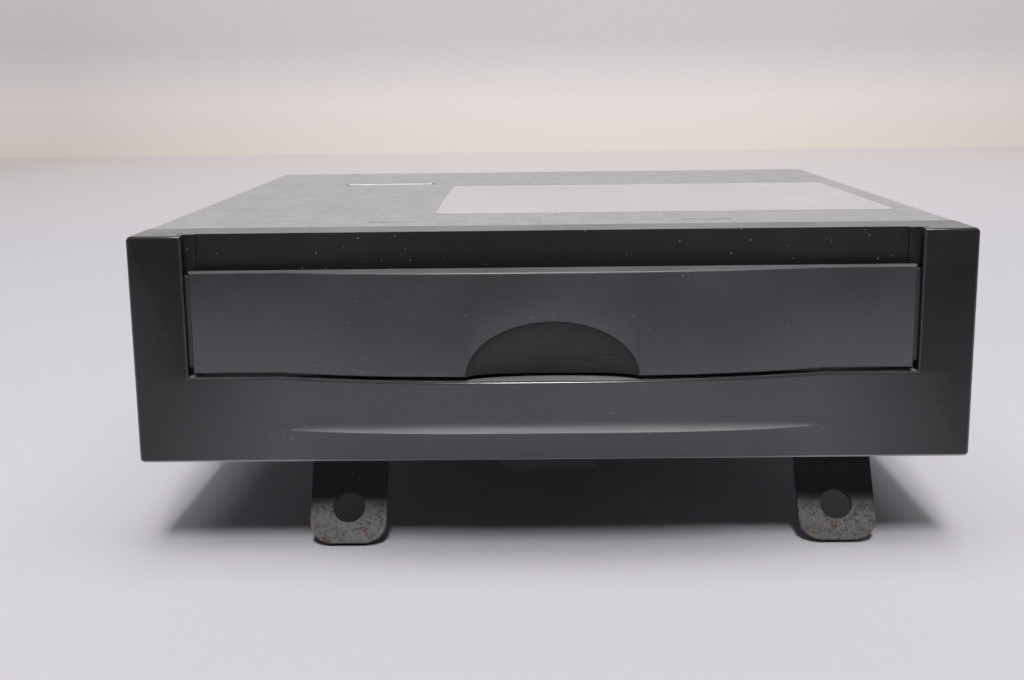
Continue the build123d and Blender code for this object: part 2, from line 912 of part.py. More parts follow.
def make_foot(x, bend_y, heading):
    slope = radians(foot_slope)
    middle = -foot_thickness / 2
    tip_z = foot_thickness / 2 * sin(slope) - foot_drop
    tip_y = bend_y + heading * (middle - tip_z) * tan(slope)
    points = [(bend_y - heading * foot_flange, middle), (bend_y, middle), (tip_y, tip_z)]
    half = foot_width / 2
    foot = folded_along_x(points, foot_thickness, foot_bend, x - half, x + half)

    place, out = foot_hole_place(x, bend_y, heading)
    across_leg = Axis(place, out)
    tip_edges = foot.edges().filter_by(across_leg).group_by(Axis.Z)[0]
    foot = fillet(tip_edges, foot_corner_radius)
    foot -= Plane(origin=place, z_dir=out) * Cylinder(foot_hole_radius, foot_thickness * 3)
    flange_edges = foot.edges().filter_by(Axis.Z)
    foot = fillet(flange_edges, foot_flange_corner)
    for screw_place_x, screw_y in foot_screw_places(x, bend_y, heading):
        foot -= Pos(screw_place_x, screw_y, middle) * screw_hole(foot_thickness * 2)
    return foot


def make_foot_screws():
    foot_screw = Rot(180, 0, 0) * pan_screw(foot_thickness + sheet + screw_reach)
    clip_screw = Rot(180, 0, 0) * pan_screw(clip_sheet + sheet + screw_reach)
    screws = []
    for foot in foot_places():
        screws += [Pos(x, y, -foot_thickness) * foot_screw for x, y in foot_screw_places(*foot)]
    screws += [Pos(x, y, -clip_sheet) * clip_screw for x, y in clip_screw_places()]
    return Compound(screws)


# Main board and rear connectors

def standoff_places():
    return [
        (-standoff_side, standoff_front),
        (standoff_side, standoff_front),
        (-standoff_side, standoff_rear),
        (standoff_side, standoff_rear),
    ]


def make_main_board():
    half = board_half_width
    board = block(-half, half, board_front, board_rear, board_level, board_top)
    board = fillet(board.edges().filter_by(Axis.Z), board_corner)
    low, high = board_level - overrun, board_top + overrun
    for x, y in standoff_places():
        board -= post(x, y, low, high, screw_radius + screw_hole_clearance)
    return board


def make_board_standoffs():
    posts = []
    for x, y in standoff_places():
        solid = post(x, y, sheet, board_level, standoff_radius)
        thread = post(x, y, board_level - standoff_thread, board_level + overrun, screw_radius)
        posts.append(solid - thread)
    return Compound(posts)


def make_board_screws():
    screw = pan_screw(board_thickness + board_screw_reach)
    return Compound([Pos(x, y, board_top) * screw for x, y in standoff_places()])


def chip(place, length, width, height):
    # Moulded package with its drafted sides.
    base = Pos(place[0], board_front + place[1], board_top) * Rectangle(length, width)
    return extrude(base, height, taper=chip_draft)


def make_board_chips():
    return Compound([
        chip(processor_place, processor_size, processor_size, processor_height),
        chip(graphics_place, graphics_size, graphics_size, graphics_height),
        chip(memory_place, memory_length, memory_width, chip_height),
        chip(sound_place, sound_length, sound_width, chip_height),
        chip(servo_place, servo_length, servo_width, chip_height),
        chip(driver_place, driver_size, driver_size, chip_height),
    ])


def capacitor_places():
    # A row of cans on each side of the board, and one across its front.
    right_y = board_front + capacitor_right_from_front
    left_y = board_front + capacitor_left_from_front
    front_y = board_front + capacitor_front_from_front
    pitch = capacitor_pitch
    places = [(capacitor_side, right_y + pitch * index) for index in range(capacitor_right_count)]
    places += [(-capacitor_side, left_y + pitch * index) for index in range(capacitor_left_count)]
    places += [(capacitor_front_x + pitch * index, front_y) for index in range(capacitor_front_count)]
    return places


def make_board_capacitors():
    cans = []
    for x, y in capacitor_places():
        can = post(x, y, board_top, board_top + capacitor_height, capacitor_radius)
        cans.append(fillet(can.edges().group_by(Axis.Z)[-1], capacitor_edge))
    return Compound(cans)


def socket_shell(x, width, height, depth):
    # Connector housing on the board's rear edge, open to the back.
    y1 = case_rear + connector_proud
    half = width / 2
    top = board_top + height
    shell = block(x - half, x + half, y1 - connector_length, y1, board_top, top)
    shell = fillet(shell.edges().filter_by(Axis.Y), connector_corner)
    wall = connector_wall
    inner, mouth = half - wall, y1 + overrun
    cavity = block(x - inner, x + inner, y1 - depth, mouth, board_top + wall, top - wall)
    key_low, key_high = top - wall - key_depth, top - wall / 2
    key = block(x - key_half_width, x + key_half_width, y1 - depth, mouth, key_low, key_high)
    return shell - cavity - key


def pin_rows(x, height, depth, per_row):
    # Two rows of contacts standing out of a connector's inner wall.
    y0 = case_rear + connector_proud - depth
    y1 = y0 + pin_proud
    middle = board_top + height / 2
    half = pin_size / 2
    pins = []
    for row in (-1, 1):
        pin_z = middle + row * (height / 2 - connector_wall) / 2
        for index in range(per_row):
            pin_x = x + (index - (per_row - 1) / 2) * pin_pitch
            pins.append(block(pin_x - half, pin_x + half, y0, y1, pin_z - half, pin_z + half))
    return pins


def make_connector_pins():
    pins = pin_rows(harness_x, harness_height, harness_socket_depth, harness_pin_count)
    pins += pin_rows(display_x, display_height, display_socket_depth, display_pin_count)
    return Compound(pins)


def make_antenna_jack():
    base_y = deck_rear + antenna_base_gap
    wall_y = rear_wall_y - sheet - antenna_wall_gap
    half = antenna_base_width / 2
    base = block(antenna_x - half, antenna_x + half, base_y, wall_y, board_top, antenna_z + half)
    base = fillet(base.edges().filter_by(Axis.Y), connector_corner)
    barrel = rod_along_y(antenna_x, base_y, rear_reach, antenna_z, antenna_radius)
    bore_y = rear_reach - antenna_bore_depth
    bore = rod_along_y(antenna_x, bore_y, rear_reach + overrun, antenna_z, antenna_bore)
    pin_end = rear_reach - antenna_pin_recess
    pin = rod_along_y(antenna_x, bore_y - antenna_pin_radius, pin_end, antenna_z, antenna_pin_radius)
    return base + (barrel - bore) + pin


# Drive deck

def damper_places():
    return [
        (-damper_x, damper_front),
        (damper_x, damper_front),
        (-damper_x, damper_rear),
        (damper_x, damper_rear),
    ]


def make_drive_deck():
    low, high = deck_level - overrun, deck_top + overrun
    half = deck_half_width
    deck = block(-half, half, deck_front, deck_rear, deck_level, deck_top)
    for x, y in damper_places():
        inner = (half - deck_ear_root) * (1 if x > 0 else -1)
        x0, x1 = min(inner, x), max(inner, x)
        deck += block(x0, x1, y - damper_ear_radius, y + damper_ear_radius, deck_level, deck_top)
        deck += post(x, y, deck_level, deck_top, damper_ear_radius)
    for x, y in damper_places():
        deck -= post(x, y, low, high, grommet_neck)

    # Upright cheeks at the front that carry the roller and the disc guide.
    deck += both_sides(block(half - sheet, half, cheek_front, cheek_rear, deck_level, cheek_top))
    inner, outer = half - sheet - overrun, half + overrun
    shaft_hole = roller_shaft_radius + running_clearance
    deck -= both_sides(rod_along_x(inner, outer, roller_y, gear_axis_z, shaft_hole))
    deck -= both_sides(rod_along_x(inner, outer, idler_y, gear_axis_z, axle_radius))

    # Opening for the gear train and its motor, with the plate that the motor screws to.
    window_rear = pinion_y + loading_motor_radius + window_margin
    plate_end = motor_plate_x + sheet
    x0 = gear_x - gear_window_gap
    x1 = plate_end + loading_motor_length + window_margin
    deck -= block(x0, x1, deck_front - overrun, window_rear, low, high)
    plate_front = pinion_y - loading_motor_radius
    plate_rear = window_rear + motor_plate_foot
    plate_top = gear_axis_z + loading_motor_radius
    plate = block(motor_plate_x, plate_end, plate_front, plate_rear, deck_level, plate_top)
    x0, x1 = motor_plate_x - overrun, plate_end + overrun
    deck += plate - rod_along_x(x0, x1, pinion_y, gear_axis_z, motor_boss_radius)

    # Opening that the sled travels in, and the one for its motor.
    window_half = sled_half_width + window_margin
    deck -= block(-window_half, window_half, sled_front - window_lead, sled_window_rear(), low, high)
    motor_half = sled_motor_radius + sled_motor_gap
    x0, x1 = screw_x - motor_half, screw_x + motor_half
    y0 = sled_motor_front()
    deck -= block(x0, x1, y0, y0 + sled_motor_length + overrun, low, high)
    x0, x1 = screw_x - motor_half - sled_motor_tab, screw_x + sled_motor_radius
    tab = block(x0, x1, y0 - sheet, y0, deck_level, rod_z + sled_motor_radius)
    hole_radius = lead_screw_radius + sled_motor_bore_gap
    hole = rod_along_y(screw_x, y0 - sheet - overrun, y0 + overrun, rod_z, hole_radius)
    deck += tab - hole

    # Ears that carry the clamp arm's hinge.
    x0 = clamp_hinge_half + nest_gap
    x1 = x0 + sheet
    y0, y1 = clamp_hinge_y - clamp_ear_half, clamp_hinge_y + clamp_ear_half
    ear = block(x0, x1, y0, y1, deck_level, clamp_hinge_z + clamp_ear_rise)
    ear = fillet(ear.edges().filter_by(Axis.X).group_by(Axis.Z)[-1], clamp_ear_rise)
    ear -= rod_along_x(x0 - overrun, x1 + overrun, clamp_hinge_y, clamp_hinge_z, axle_radius)
    return deck + both_sides(ear)


def sled_window_rear():
    return sled_front + sled_length + sled_travel + window_end_gap


def sled_motor_front():
    return sled_front + sled_length + sled_travel - sled_motor_setback


def make_damper_posts():
    low = deck_level - grommet_flange
    high = deck_top + grommet_flange
    posts = []
    for x, y in damper_places():
        shoulder = post(x, y, sheet, low, damper_shoulder_radius)
        stud = post(x, y, low, high, damper_post_radius)
        rivet = post(x, y, 0, sheet, damper_post_radius / 2)
        bore = post(x, y, low, high + overrun, screw_radius)
        posts.append(shoulder + stud + rivet - bore)
    return Compound(posts)


def make_damper_grommets():
    low = deck_level - grommet_flange
    high = deck_top + grommet_flange
    bore = damper_post_radius + running_clearance
    rings = []
    for x, y in damper_places():
        ring = post(x, y, low, deck_level, grommet_radius)
        ring += post(x, y, deck_level, deck_top, grommet_neck)
        ring += post(x, y, deck_top, high, grommet_radius)
        rings.append(ring - post(x, y, low - overrun, high + overrun, bore))
    return Compound(rings)


def make_damper_screws():
    seat = deck_top + grommet_flange
    depth = seat - deck_level + grommet_flange
    return Compound([Pos(x, y, seat) * pan_screw(depth) for x, y in damper_places()])


def make_disc_guide():
    # Upper guide plate, arched so that only the disc's edge can touch it.
    low = cheek_top
    high = cheek_top + guide_thickness
    half = deck_half_width
    arched = disc_radius
    rise = guide_arch
    outline = (
        Line((-half, low), (-arched, low))
        + ThreePointArc((-arched, low), (0, low + rise), (arched, low))
        + Line((arched, low), (half, low))
        + Line((half, low), (half, high))
        + Line((half, high), (arched, high))
        + ThreePointArc((arched, high), (0, high + rise), (-arched, high))
        + Line((-arched, high), (-half, high))
        + Line((-half, high), (-half, low))
    )
    plane = Plane(origin=(0, guide_rear, 0), x_dir=(1, 0, 0), z_dir=(0, -1, 0))
    guide = extrude(plane * make_face(outline), guide_rear - cheek_front)
    window = SlotOverall(guide_window_length, guide_window_width)
    depth = guide_thickness + guide_arch + 2 * overrun
    for step in (-1, 0, 1):
        place = Pos(step * guide_window_pitch, cheek_front + guide_window_setback, low - overrun)
        guide -= place * extrude(window, depth)
    return guide


# Loading gear train

def involute(angle):
    return tan(angle) - angle


def gear(teeth):
    # Toothed disc about X, from X = 0 to its thickness, with one tooth towards +Y.
    pitch = gear_module * teeth / 2
    base = pitch * cos(radians(pressure_angle))

    def half_angle(radius):
        at_pitch = pi / (2 * teeth) - gear_backlash / (2 * pitch) + involute(radians(pressure_angle))
        return at_pitch - involute(acos(min(1.0, base / radius)))

    root = pitch - gear_dedendum * gear_module
    tip = pitch + gear_addendum * gear_module
    points = []
    for tooth in range(teeth):
        middle = 2 * pi * tooth / teeth
        flank = [(radius, half_angle(radius)) for radius in (root, pitch, tip)]
        for radius, half in [(r, -a) for r, a in flank] + [(r, a) for r, a in reversed(flank)]:
            points.append((radius * cos(middle + half), radius * sin(middle + half)))
    face = make_face(Polyline(*points, close=True))
    return extrude(Plane.YZ * face, gear_thickness)


def meshing_turn(turn, teeth, next_teeth):
    # Turn of the next gear behind this one, in degrees, that puts its gap on this one's tooth.
    return 180 + 180 / next_teeth - turn * teeth / next_teeth


def place_gear(teeth, y, turn):
    return Pos(gear_x, y, gear_axis_z) * Rot(turn, 0, 0) * gear(teeth)


def idler_turn():
    return meshing_turn(0, roller_teeth, idler_teeth)


def make_roller_shaft():
    end = deck_half_width + shaft_end_proud
    return rod_along_x(-end, end, roller_y, gear_axis_z, roller_shaft_radius)


def make_roller_sleeves():
    # Rubber sleeves, thicker towards the sides so that only the disc's edge is gripped.
    x0 = roller_sleeve_inset
    x1 = x0 + roller_sleeve_length
    points = [
        (x0, roller_shaft_radius),
        (x0, roller_middle_radius),
        (x1, roller_end_radius),
        (x1, roller_shaft_radius),
    ]
    profile = make_face(Polyline(*points, close=True))
    sleeve = revolve(Plane.XZ * profile, Axis.X)
    return Pos(0, roller_y, gear_axis_z) * both_sides(sleeve)


def gear_bore(y, radius):
    start = gear_x - gear_cheek_gap - overrun
    end = gear_x + gear_thickness + overrun
    return rod_along_x(start, end, y, gear_axis_z, radius)


def make_roller_gear():
    return place_gear(roller_teeth, roller_y, 0) - gear_bore(roller_y, roller_shaft_radius)


def make_idler_gear():
    solid = place_gear(idler_teeth, idler_y, idler_turn())
    hub_start = gear_x - gear_cheek_gap + nest_gap
    solid += rod_along_x(hub_start, gear_x, idler_y, gear_axis_z, idler_hub_radius)
    return solid - gear_bore(idler_y, axle_radius + running_clearance)


def make_idler_axle():
    end = gear_x + gear_thickness + shaft_end_proud
    return rod_along_x(-deck_half_width, end, idler_y, gear_axis_z, axle_radius)


def make_motor_pinion():
    turn = meshing_turn(idler_turn(), idler_teeth, pinion_teeth)
    solid = place_gear(pinion_teeth, pinion_y, turn)
    start = gear_x + pinion_end_gap
    end = motor_plate_x + sheet + motor_shaft_depth
    return solid + rod_along_x(start, end, pinion_y, gear_axis_z, motor_shaft_radius)


def make_loading_motor():
    x0 = motor_plate_x + sheet
    x1 = x0 + loading_motor_length
    can = rod_along_x(x0, x1, pinion_y, gear_axis_z, loading_motor_radius)
    flat = loading_motor_flat
    wide = loading_motor_radius + overrun
    can &= block(x0, x1, pinion_y - wide, pinion_y + wide, gear_axis_z - flat, gear_axis_z + flat)
    bore_end = x0 + motor_shaft_depth + nest_gap
    bore = motor_shaft_radius + running_clearance
    return can - rod_along_x(x0 - overrun, bore_end, pinion_y, gear_axis_z, bore)


# Spindle, turntable and clamp

def make_spindle_motor():
    top = deck_top + spindle_motor_height
    motor = post(0, disc_centre, deck_top, top, spindle_motor_radius)
    motor = chamfer(motor.edges().group_by(Axis.Z)[-1], spindle_motor_edge)
    bore_low = deck_top + spindle_shaft_lift - nest_gap
    bore = spindle_shaft_radius + running_clearance
    return motor - post(0, disc_centre, bore_low, top + overrun, bore)


def make_turntable():
    seat = disc_underside
    flange = post(0, disc_centre, seat - turntable_thickness, seat, turntable_radius)
    hub = Cone(hub_radius, hub_radius - hub_taper, hub_height)
    hub = Pos(0, disc_centre, seat + hub_height / 2) * hub
    shaft = post(0, disc_centre, deck_top + spindle_shaft_lift, seat, spindle_shaft_radius)
    boss_low = deck_top + spindle_motor_height + nest_gap
    boss = post(0, disc_centre, boss_low, seat - turntable_thickness, hub_radius)
    return flange + hub + shaft + boss


def make_clamp_arm():
    z0 = clamp_level
    z1 = z0 + clamp_plate
    nose = clamp_nose_half
    wide = clamp_hinge_half
    neck = disc_centre + nose
    shoulder = clamp_hinge_y - clamp_ear_half
    rear = clamp_hinge_y + clamp_rear_reach
    points = [
        (-nose, clamp_nose_front),
        (nose, clamp_nose_front),
        (nose, neck),
        (wide, shoulder),
        (wide, rear),
        (-wide, rear),
        (-wide, shoulder),
        (-nose, neck),
    ]
    plate = extrude(Pos(0, 0, z0) * make_face(Polyline(*points, close=True)), clamp_plate)
    plate = fillet(plate.edges().filter_by(Axis.Z), clamp_corner)
    low, depth = z0 - overrun, clamp_plate + 2 * overrun
    plate -= post(0, disc_centre, low, low + depth, clamper_radius + clamper_gap)
    window = Trapezoid(clamp_window_width, clamp_window_length, clamp_window_angle)
    plate -= Pos(0, clamp_hinge_y - clamp_window_setback, low) * extrude(window, depth)

    ear_front, ear_rear = shoulder + clamp_corner, rear - clamp_ear_setback
    ear_low, ear_high = clamp_hinge_z - clamp_ear_drop, z1 - clamp_plate / 2
    ear = block(wide - sheet, wide, ear_front, ear_rear, ear_low, ear_high)
    start, end = wide - sheet - overrun, wide + overrun
    bore = axle_radius + running_clearance
    ear -= rod_along_x(start, end, clamp_hinge_y, clamp_hinge_z, bore)
    return plate + both_sides(ear)


def make_clamp_hinge_pins():
    pin_inner = clamp_hinge_half - sheet - shaft_end_proud
    pin_outer = clamp_hinge_half + nest_gap + sheet
    pin = rod_along_x(pin_inner, pin_outer, clamp_hinge_y, clamp_hinge_z, axle_radius)
    return Compound([pin, mirror(pin, Plane.YZ)])


def make_clamper():
    low = disc_underside + disc_thickness + clamper_disc_gap
    flange_low = clamp_level + clamp_plate + nest_gap
    puck = post(0, disc_centre, low, flange_low + clamper_neck, clamper_radius)
    puck += post(0, disc_centre, flange_low, flange_low + clamper_flange, clamper_flange_radius)
    recess_top = disc_underside + hub_height + clamper_hub_gap
    return puck - post(0, disc_centre, low - overrun, recess_top, hub_radius + overrun)


# Pickup sled

def make_guide_rods():
    y0 = sled_front - rod_end_setback
    y1 = sled_window_rear() + holder_length
    return Compound([rod_along_y(x, y0, y1, rod_z, rod_radius) for x in (-rod_x, rod_x)])


def make_rod_holders():
    top = rod_z + holder_rise
    blocks = []
    for x in (-rod_x, rod_x):
        x0, x1 = x - holder_half_width, x + holder_half_width
        for y0 in (sled_front - window_lead - holder_length, sled_window_rear()):
            y1 = y0 + holder_length
            solid = block(x0, x1, y0, y1, deck_top, top)
            solid = fillet(solid.edges().filter_by(Axis.Y).group_by(Axis.Z)[-1], holder_corner)
            blocks.append(solid - rod_along_y(x, y0 - overrun, y1 + overrun, rod_z, rod_radius))
    x0, x1 = screw_x - holder_half_width, screw_x + holder_half_width
    y0 = sled_front - screw_holder_setback
    y1 = y0 + screw_holder_length
    bore = screw_journal_radius + running_clearance
    solid = block(x0, x1, y0, y1, deck_top, top)
    blocks.append(solid - rod_along_y(screw_x, y0 - overrun, y1 + overrun, rod_z, bore))
    return Compound(blocks)


def make_pickup_sled():
    half = sled_half_width
    y0, y1 = sled_front, sled_front + sled_length
    z0, z1 = rod_z - sled_height / 2, rod_z + sled_height / 2
    front, rear = y0 - overrun, y1 + overrun
    sled = block(-half, half, y0, y1, z0, z1)
    sled = fillet(sled.edges().filter_by(Axis.Z), sled_corner)
    pocket = half - sled_rail
    pocket_top = z0 + sled_pocket_depth
    sled -= block(-pocket, pocket, y0 + sled_rim, y1 - sled_rim, z0 - overrun, pocket_top)
    bore = rod_radius + running_clearance
    for x in (-rod_x, rod_x):
        sled -= rod_along_y(x, front, rear, rod_z, bore)
    sled -= block(rod_x, half + overrun, front, rear, rod_z - bore, rod_z + bore)

    # Finger that the lead screw drives.
    x0, x1 = screw_x + lead_screw_radius + finger_gap, overrun - half
    y0 = y0 + finger_setback
    z0, z1 = rod_z - finger_half_height, rod_z + finger_half_height
    return sled + block(x0, x1, y0, y0 + finger_width, z0, z1)


def make_lens_holder():
    z0 = rod_z + sled_height / 2
    z1 = z0 + lens_holder_thickness
    middle = sled_front + sled_length / 2
    wide, deep = lens_holder_half_width, lens_holder_half_length
    holder = block(-wide, wide, middle - deep, middle + deep, z0, z1)
    holder = fillet(holder.edges().filter_by(Axis.Z), lens_holder_corner)
    return holder - post(0, middle, z0 - overrun, z1 + overrun, lens_radius)


def make_pickup_lens():
    z0 = rod_z + sled_height / 2
    middle = sled_front + sled_length / 2
    lens = post(0, middle, z0, z0 + lens_height, lens_radius)
    return fillet(lens.edges().group_by(Axis.Z)[-1], lens_height / 2)


def make_lead_screw():
    # Threaded length between two thinner journals.
    holder_rear = sled_front - screw_holder_setback + screw_holder_length
    thread_front = holder_rear + nest_gap
    thread_rear = sled_motor_front() - thread_end_gap
    journal_front = thread_front - screw_journal_length
    journal_rear = sled_motor_front() + screw_journal_length
    screw = rod_along_y(screw_x, thread_front, thread_rear, rod_z, lead_screw_radius)
    return screw + rod_along_y(screw_x, journal_front, journal_rear, rod_z, screw_journal_radius)


def make_sled_motor():
    y0 = sled_motor_front()
    motor = rod_along_y(screw_x, y0, y0 + sled_motor_length, rod_z, sled_motor_radius)
    motor = chamfer(motor.edges().group_by(Axis.Y)[-1], sled_motor_edge)
    bore_end = y0 + screw_journal_length + nest_gap
    bore = screw_journal_radius + running_clearance
    return motor - rod_along_y(screw_x, y0 - overrun, bore_end, rod_z, bore)


save("front_bezel", make_front_bezel())
save("front_door", make_front_door())
save("slot_frame", make_slot_frame())
save("slot_felts", make_slot_felts())
save("eject_button", make_eject_button())
save("switch_board", make_switch_board())
save("eject_switch", make_eject_switch())
save("bezel_clip", make_bezel_clip())
save("top_cover", make_top_cover())
save("chassis_tray", make_chassis_tray())
save("rear_panel", make_rear_panel())
save("cover_screws", make_cover_screws())
foot_names = ("front_left_foot", "front_right_foot", "rear_left_foot", "rear_right_foot")
for name, place in zip(foot_names, foot_places()):
    save(name, make_foot(*place))
save("foot_screws", make_foot_screws())
save("main_board", make_main_board())
save("board_standoffs", make_board_standoffs())
save("board_screws", make_board_screws())
save("board_chips", make_board_chips())
save("board_capacitors", make_board_capacitors())
save("harness_socket", socket_shell(harness_x, harness_width, harness_height, harness_socket_depth))
save("display_socket", socket_shell(display_x, display_width, display_height, display_socket_depth))
save("connector_pins", make_connector_pins())
save("antenna_jack", make_antenna_jack())
save("drive_deck", make_drive_deck())
save("damper_posts", make_damper_posts())
save("damper_grommets", make_damper_grommets())
save("damper_screws", make_damper_screws())
save("disc_guide", make_disc_guide())
save("roller_shaft", make_roller_shaft())
save("roller_sleeves", make_roller_sleeves())
save("roller_gear", make_roller_gear())
save("idler_gear", make_idler_gear())
save("idler_axle", make_idler_axle())
save("motor_pinion", make_motor_pinion())
save("loading_motor", make_loading_motor())
save("spindle_motor", make_spindle_motor())
save("turntable", make_turntable())
save("clamp_arm", make_clamp_arm())
save("clamp_hinge_pins", make_clamp_hinge_pins())
save("clamper", make_clamper())
save("guide_rods", make_guide_rods())
save("rod_holders", make_rod_holders())
save("pickup_sled", make_pickup_sled())
save("lens_holder", make_lens_holder())
save("pickup_lens", make_pickup_lens())
save("lead_screw", make_lead_screw())
save("sled_motor", make_sled_motor())
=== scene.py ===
import json
import math
import bmesh
import bpy
from mathutils import Matrix, Vector


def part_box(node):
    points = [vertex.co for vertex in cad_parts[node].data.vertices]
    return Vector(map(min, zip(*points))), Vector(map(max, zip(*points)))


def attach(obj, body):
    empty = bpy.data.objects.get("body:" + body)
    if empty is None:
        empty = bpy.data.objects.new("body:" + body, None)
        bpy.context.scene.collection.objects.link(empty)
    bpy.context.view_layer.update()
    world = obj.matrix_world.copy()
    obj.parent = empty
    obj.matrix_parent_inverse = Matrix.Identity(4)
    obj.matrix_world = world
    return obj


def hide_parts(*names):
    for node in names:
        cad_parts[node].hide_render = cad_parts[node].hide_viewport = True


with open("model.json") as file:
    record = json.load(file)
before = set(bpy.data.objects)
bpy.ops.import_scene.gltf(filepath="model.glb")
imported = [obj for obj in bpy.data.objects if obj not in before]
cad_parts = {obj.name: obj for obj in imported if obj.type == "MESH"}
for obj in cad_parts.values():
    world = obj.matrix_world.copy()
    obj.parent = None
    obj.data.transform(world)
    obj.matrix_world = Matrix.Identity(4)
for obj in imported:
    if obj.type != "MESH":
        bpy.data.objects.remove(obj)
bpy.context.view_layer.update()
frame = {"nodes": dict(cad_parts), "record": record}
nodes = frame["nodes"]
print("frame loaded:", len(nodes), "nodes")

# The drawing's zero is on the flat front face and the case's underside; the part's is on the floor under its middle.
drawing = {"middleY": 90.25, "footDrop": 21.0}
mm = 0.001


def at(x, y, z):  # drawing millimetres to frame metres
    return Vector((x, y - drawing["middleY"], z + drawing["footDrop"])) * mm


# Shader helpers

def fill(tree, node, inputs):  # each input takes a value or a link
    for key, value in inputs.items():
        if isinstance(value, bpy.types.NodeSocket):
            tree.links.new(value, node.inputs[key])
        else:
            node.inputs[key].default_value = value


def put(tree, kind, inputs=None, **settings):
    node = tree.nodes.new(kind)
    for key, value in settings.items():
        setattr(node, key, value)
    fill(tree, node, inputs or {})
    return node


def calc(tree, operation, a, b=0.0, clamp=False):
    return put(tree, "ShaderNodeMath", {0: a, 1: b}, operation=operation, use_clamp=clamp).outputs[0]


def times(tree, first, *others):
    for other in others:
        first = calc(tree, "MULTIPLY", first, other)
    return first


def ramp(tree, value, low, high, outLow=0.0, outHigh=1.0):
    inputs = {"Value": value, "From Min": low, "From Max": high, "To Min": outLow, "To Max": outHigh}
    return put(tree, "ShaderNodeMapRange", inputs, clamp=True).outputs[0]


def blendColour(tree, share, first, second, mode="MIX"):
    inputs = {0: share, 6: first, 7: second}
    return put(tree, "ShaderNodeMix", inputs, data_type="RGBA", blend_type=mode).outputs[2]


def noise(tree, place, scale, detail=2.0, rough=0.5, distortion=0.0):
    inputs = {"Vector": place, "Scale": scale, "Detail": detail, "Roughness": rough, "Distortion": distortion}
    return put(tree, "ShaderNodeTexNoise", inputs).outputs[0]


def axes(tree, vector):  # X, Y and Z
    return put(tree, "ShaderNodeSeparateXYZ", {0: vector}).outputs


def chances(tree, cells):  # three random numbers for each Voronoi cell
    return put(tree, "ShaderNodeSeparateColor", {0: cells.outputs["Color"]}).outputs


def newGroup(name, inputs, outputs):
    tree = bpy.data.node_groups.new(name, "ShaderNodeTree")
    tree.interface.new_socket("Place", in_out="INPUT", socket_type="NodeSocketVector")
    for label, value in inputs.items():
        socket = tree.interface.new_socket(label, in_out="INPUT", socket_type="NodeSocketFloat")
        socket.default_value = value
    for label in outputs:
        tree.interface.new_socket(label, in_out="OUTPUT", socket_type="NodeSocketFloat")
    return tree, put(tree, "NodeGroupInput").outputs, put(tree, "NodeGroupOutput").inputs


def useGroup(tree, group, **inputs):  # an underscore in a keyword stands for a space
    node = put(tree, "ShaderNodeGroup", node_tree=group)
    fill(tree, node, {key.replace("_", " "): value for key, value in inputs.items()})
    return node.outputs


grainShape = {"fineDetail": 2.0, "cloudDetail": 5.0, "roughness": 0.6, "cloudRange": (0.32, 0.68)}


def makeMouldGrain():  # fine stipple of a textured mould or of paint, and a slow change of tone
    inputs = {"Grain Scale": 2600.0, "Cloud Scale": 28.0}
    tree, inside, out = newGroup("mouldGrain", inputs, ["Height", "Cloud"])
    place, shape = inside["Place"], grainShape
    fine = noise(tree, place, inside["Grain Scale"], shape["fineDetail"], shape["roughness"])
    cloud = noise(tree, place, inside["Cloud Scale"], shape["cloudDetail"], shape["roughness"])
    tree.links.new(fine, out["Height"])
    tree.links.new(ramp(tree, cloud, *shape["cloudRange"]), out["Cloud"])
    return tree


dustShape = {
    "patchScale": 55.0, "patchDetail": 8.0, "patchRough": 0.68, "patchRange": (0.35, 0.7, 0.6, 1.0),
    "facing": (0.25, 0.95), "sizePower": 4.0, "largest": 0.19,
}


def makeDust():  # film on what faces up, and loose specks everywhere
    inputs = {"Film": 0.3, "Specks": 0.5, "Speck Scale": 700.0}
    tree, inside, out = newGroup("dust", inputs, ["Film", "Speck"])
    place, shape = inside["Place"], dustShape
    normal = put(tree, "ShaderNodeNewGeometry").outputs["Normal"]
    facing = ramp(tree, axes(tree, normal)[2], *shape["facing"])
    patch = noise(tree, place, shape["patchScale"], shape["patchDetail"], shape["patchRough"])
    tree.links.new(times(tree, facing, ramp(tree, patch, *shape["patchRange"]), inside["Film"]), out["Film"])
    cells = put(tree, "ShaderNodeTexVoronoi", {"Vector": place, "Scale": inside["Speck Scale"]})
    chance = chances(tree, cells)
    radius = times(tree, calc(tree, "POWER", chance[1], shape["sizePower"]), shape["largest"])
    near = calc(tree, "LESS_THAN", cells.outputs["Distance"], radius)
    tree.links.new(times(tree, near, calc(tree, "GREATER_THAN", inside["Specks"], chance[0])), out["Speck"])
    return tree


wearShape = {
    "samples": 6, "turn": (0.995, 0.86), "chipScale": 900.0, "chipDetail": 4.0, "chipRough": 0.7,
    "breakup": -0.3, "keep": (0.3, 0.5),
}


def makeEdgeWear():  # 1 along edges, broken up
    tree, inside, out = newGroup("edgeWear", {"Width": 0.0004, "Breakup": 0.5}, ["Mask"])
    shape = wearShape
    rounded = put(tree, "ShaderNodeBevel", {"Radius": inside["Width"]}, samples=shape["samples"]).outputs[0]
    normal = put(tree, "ShaderNodeNewGeometry").outputs["Normal"]
    turn = put(tree, "ShaderNodeVectorMath", {0: rounded, 1: normal}, operation="DOT_PRODUCT").outputs["Value"]
    chips = noise(tree, inside["Place"], shape["chipScale"], shape["chipDetail"], shape["chipRough"])
    broken = calc(tree, "ADD", chips, times(tree, inside["Breakup"], shape["breakup"]))
    mask = times(tree, ramp(tree, turn, *shape["turn"]), ramp(tree, broken, *shape["keep"]))
    tree.links.new(mask, out["Mask"])
    return tree


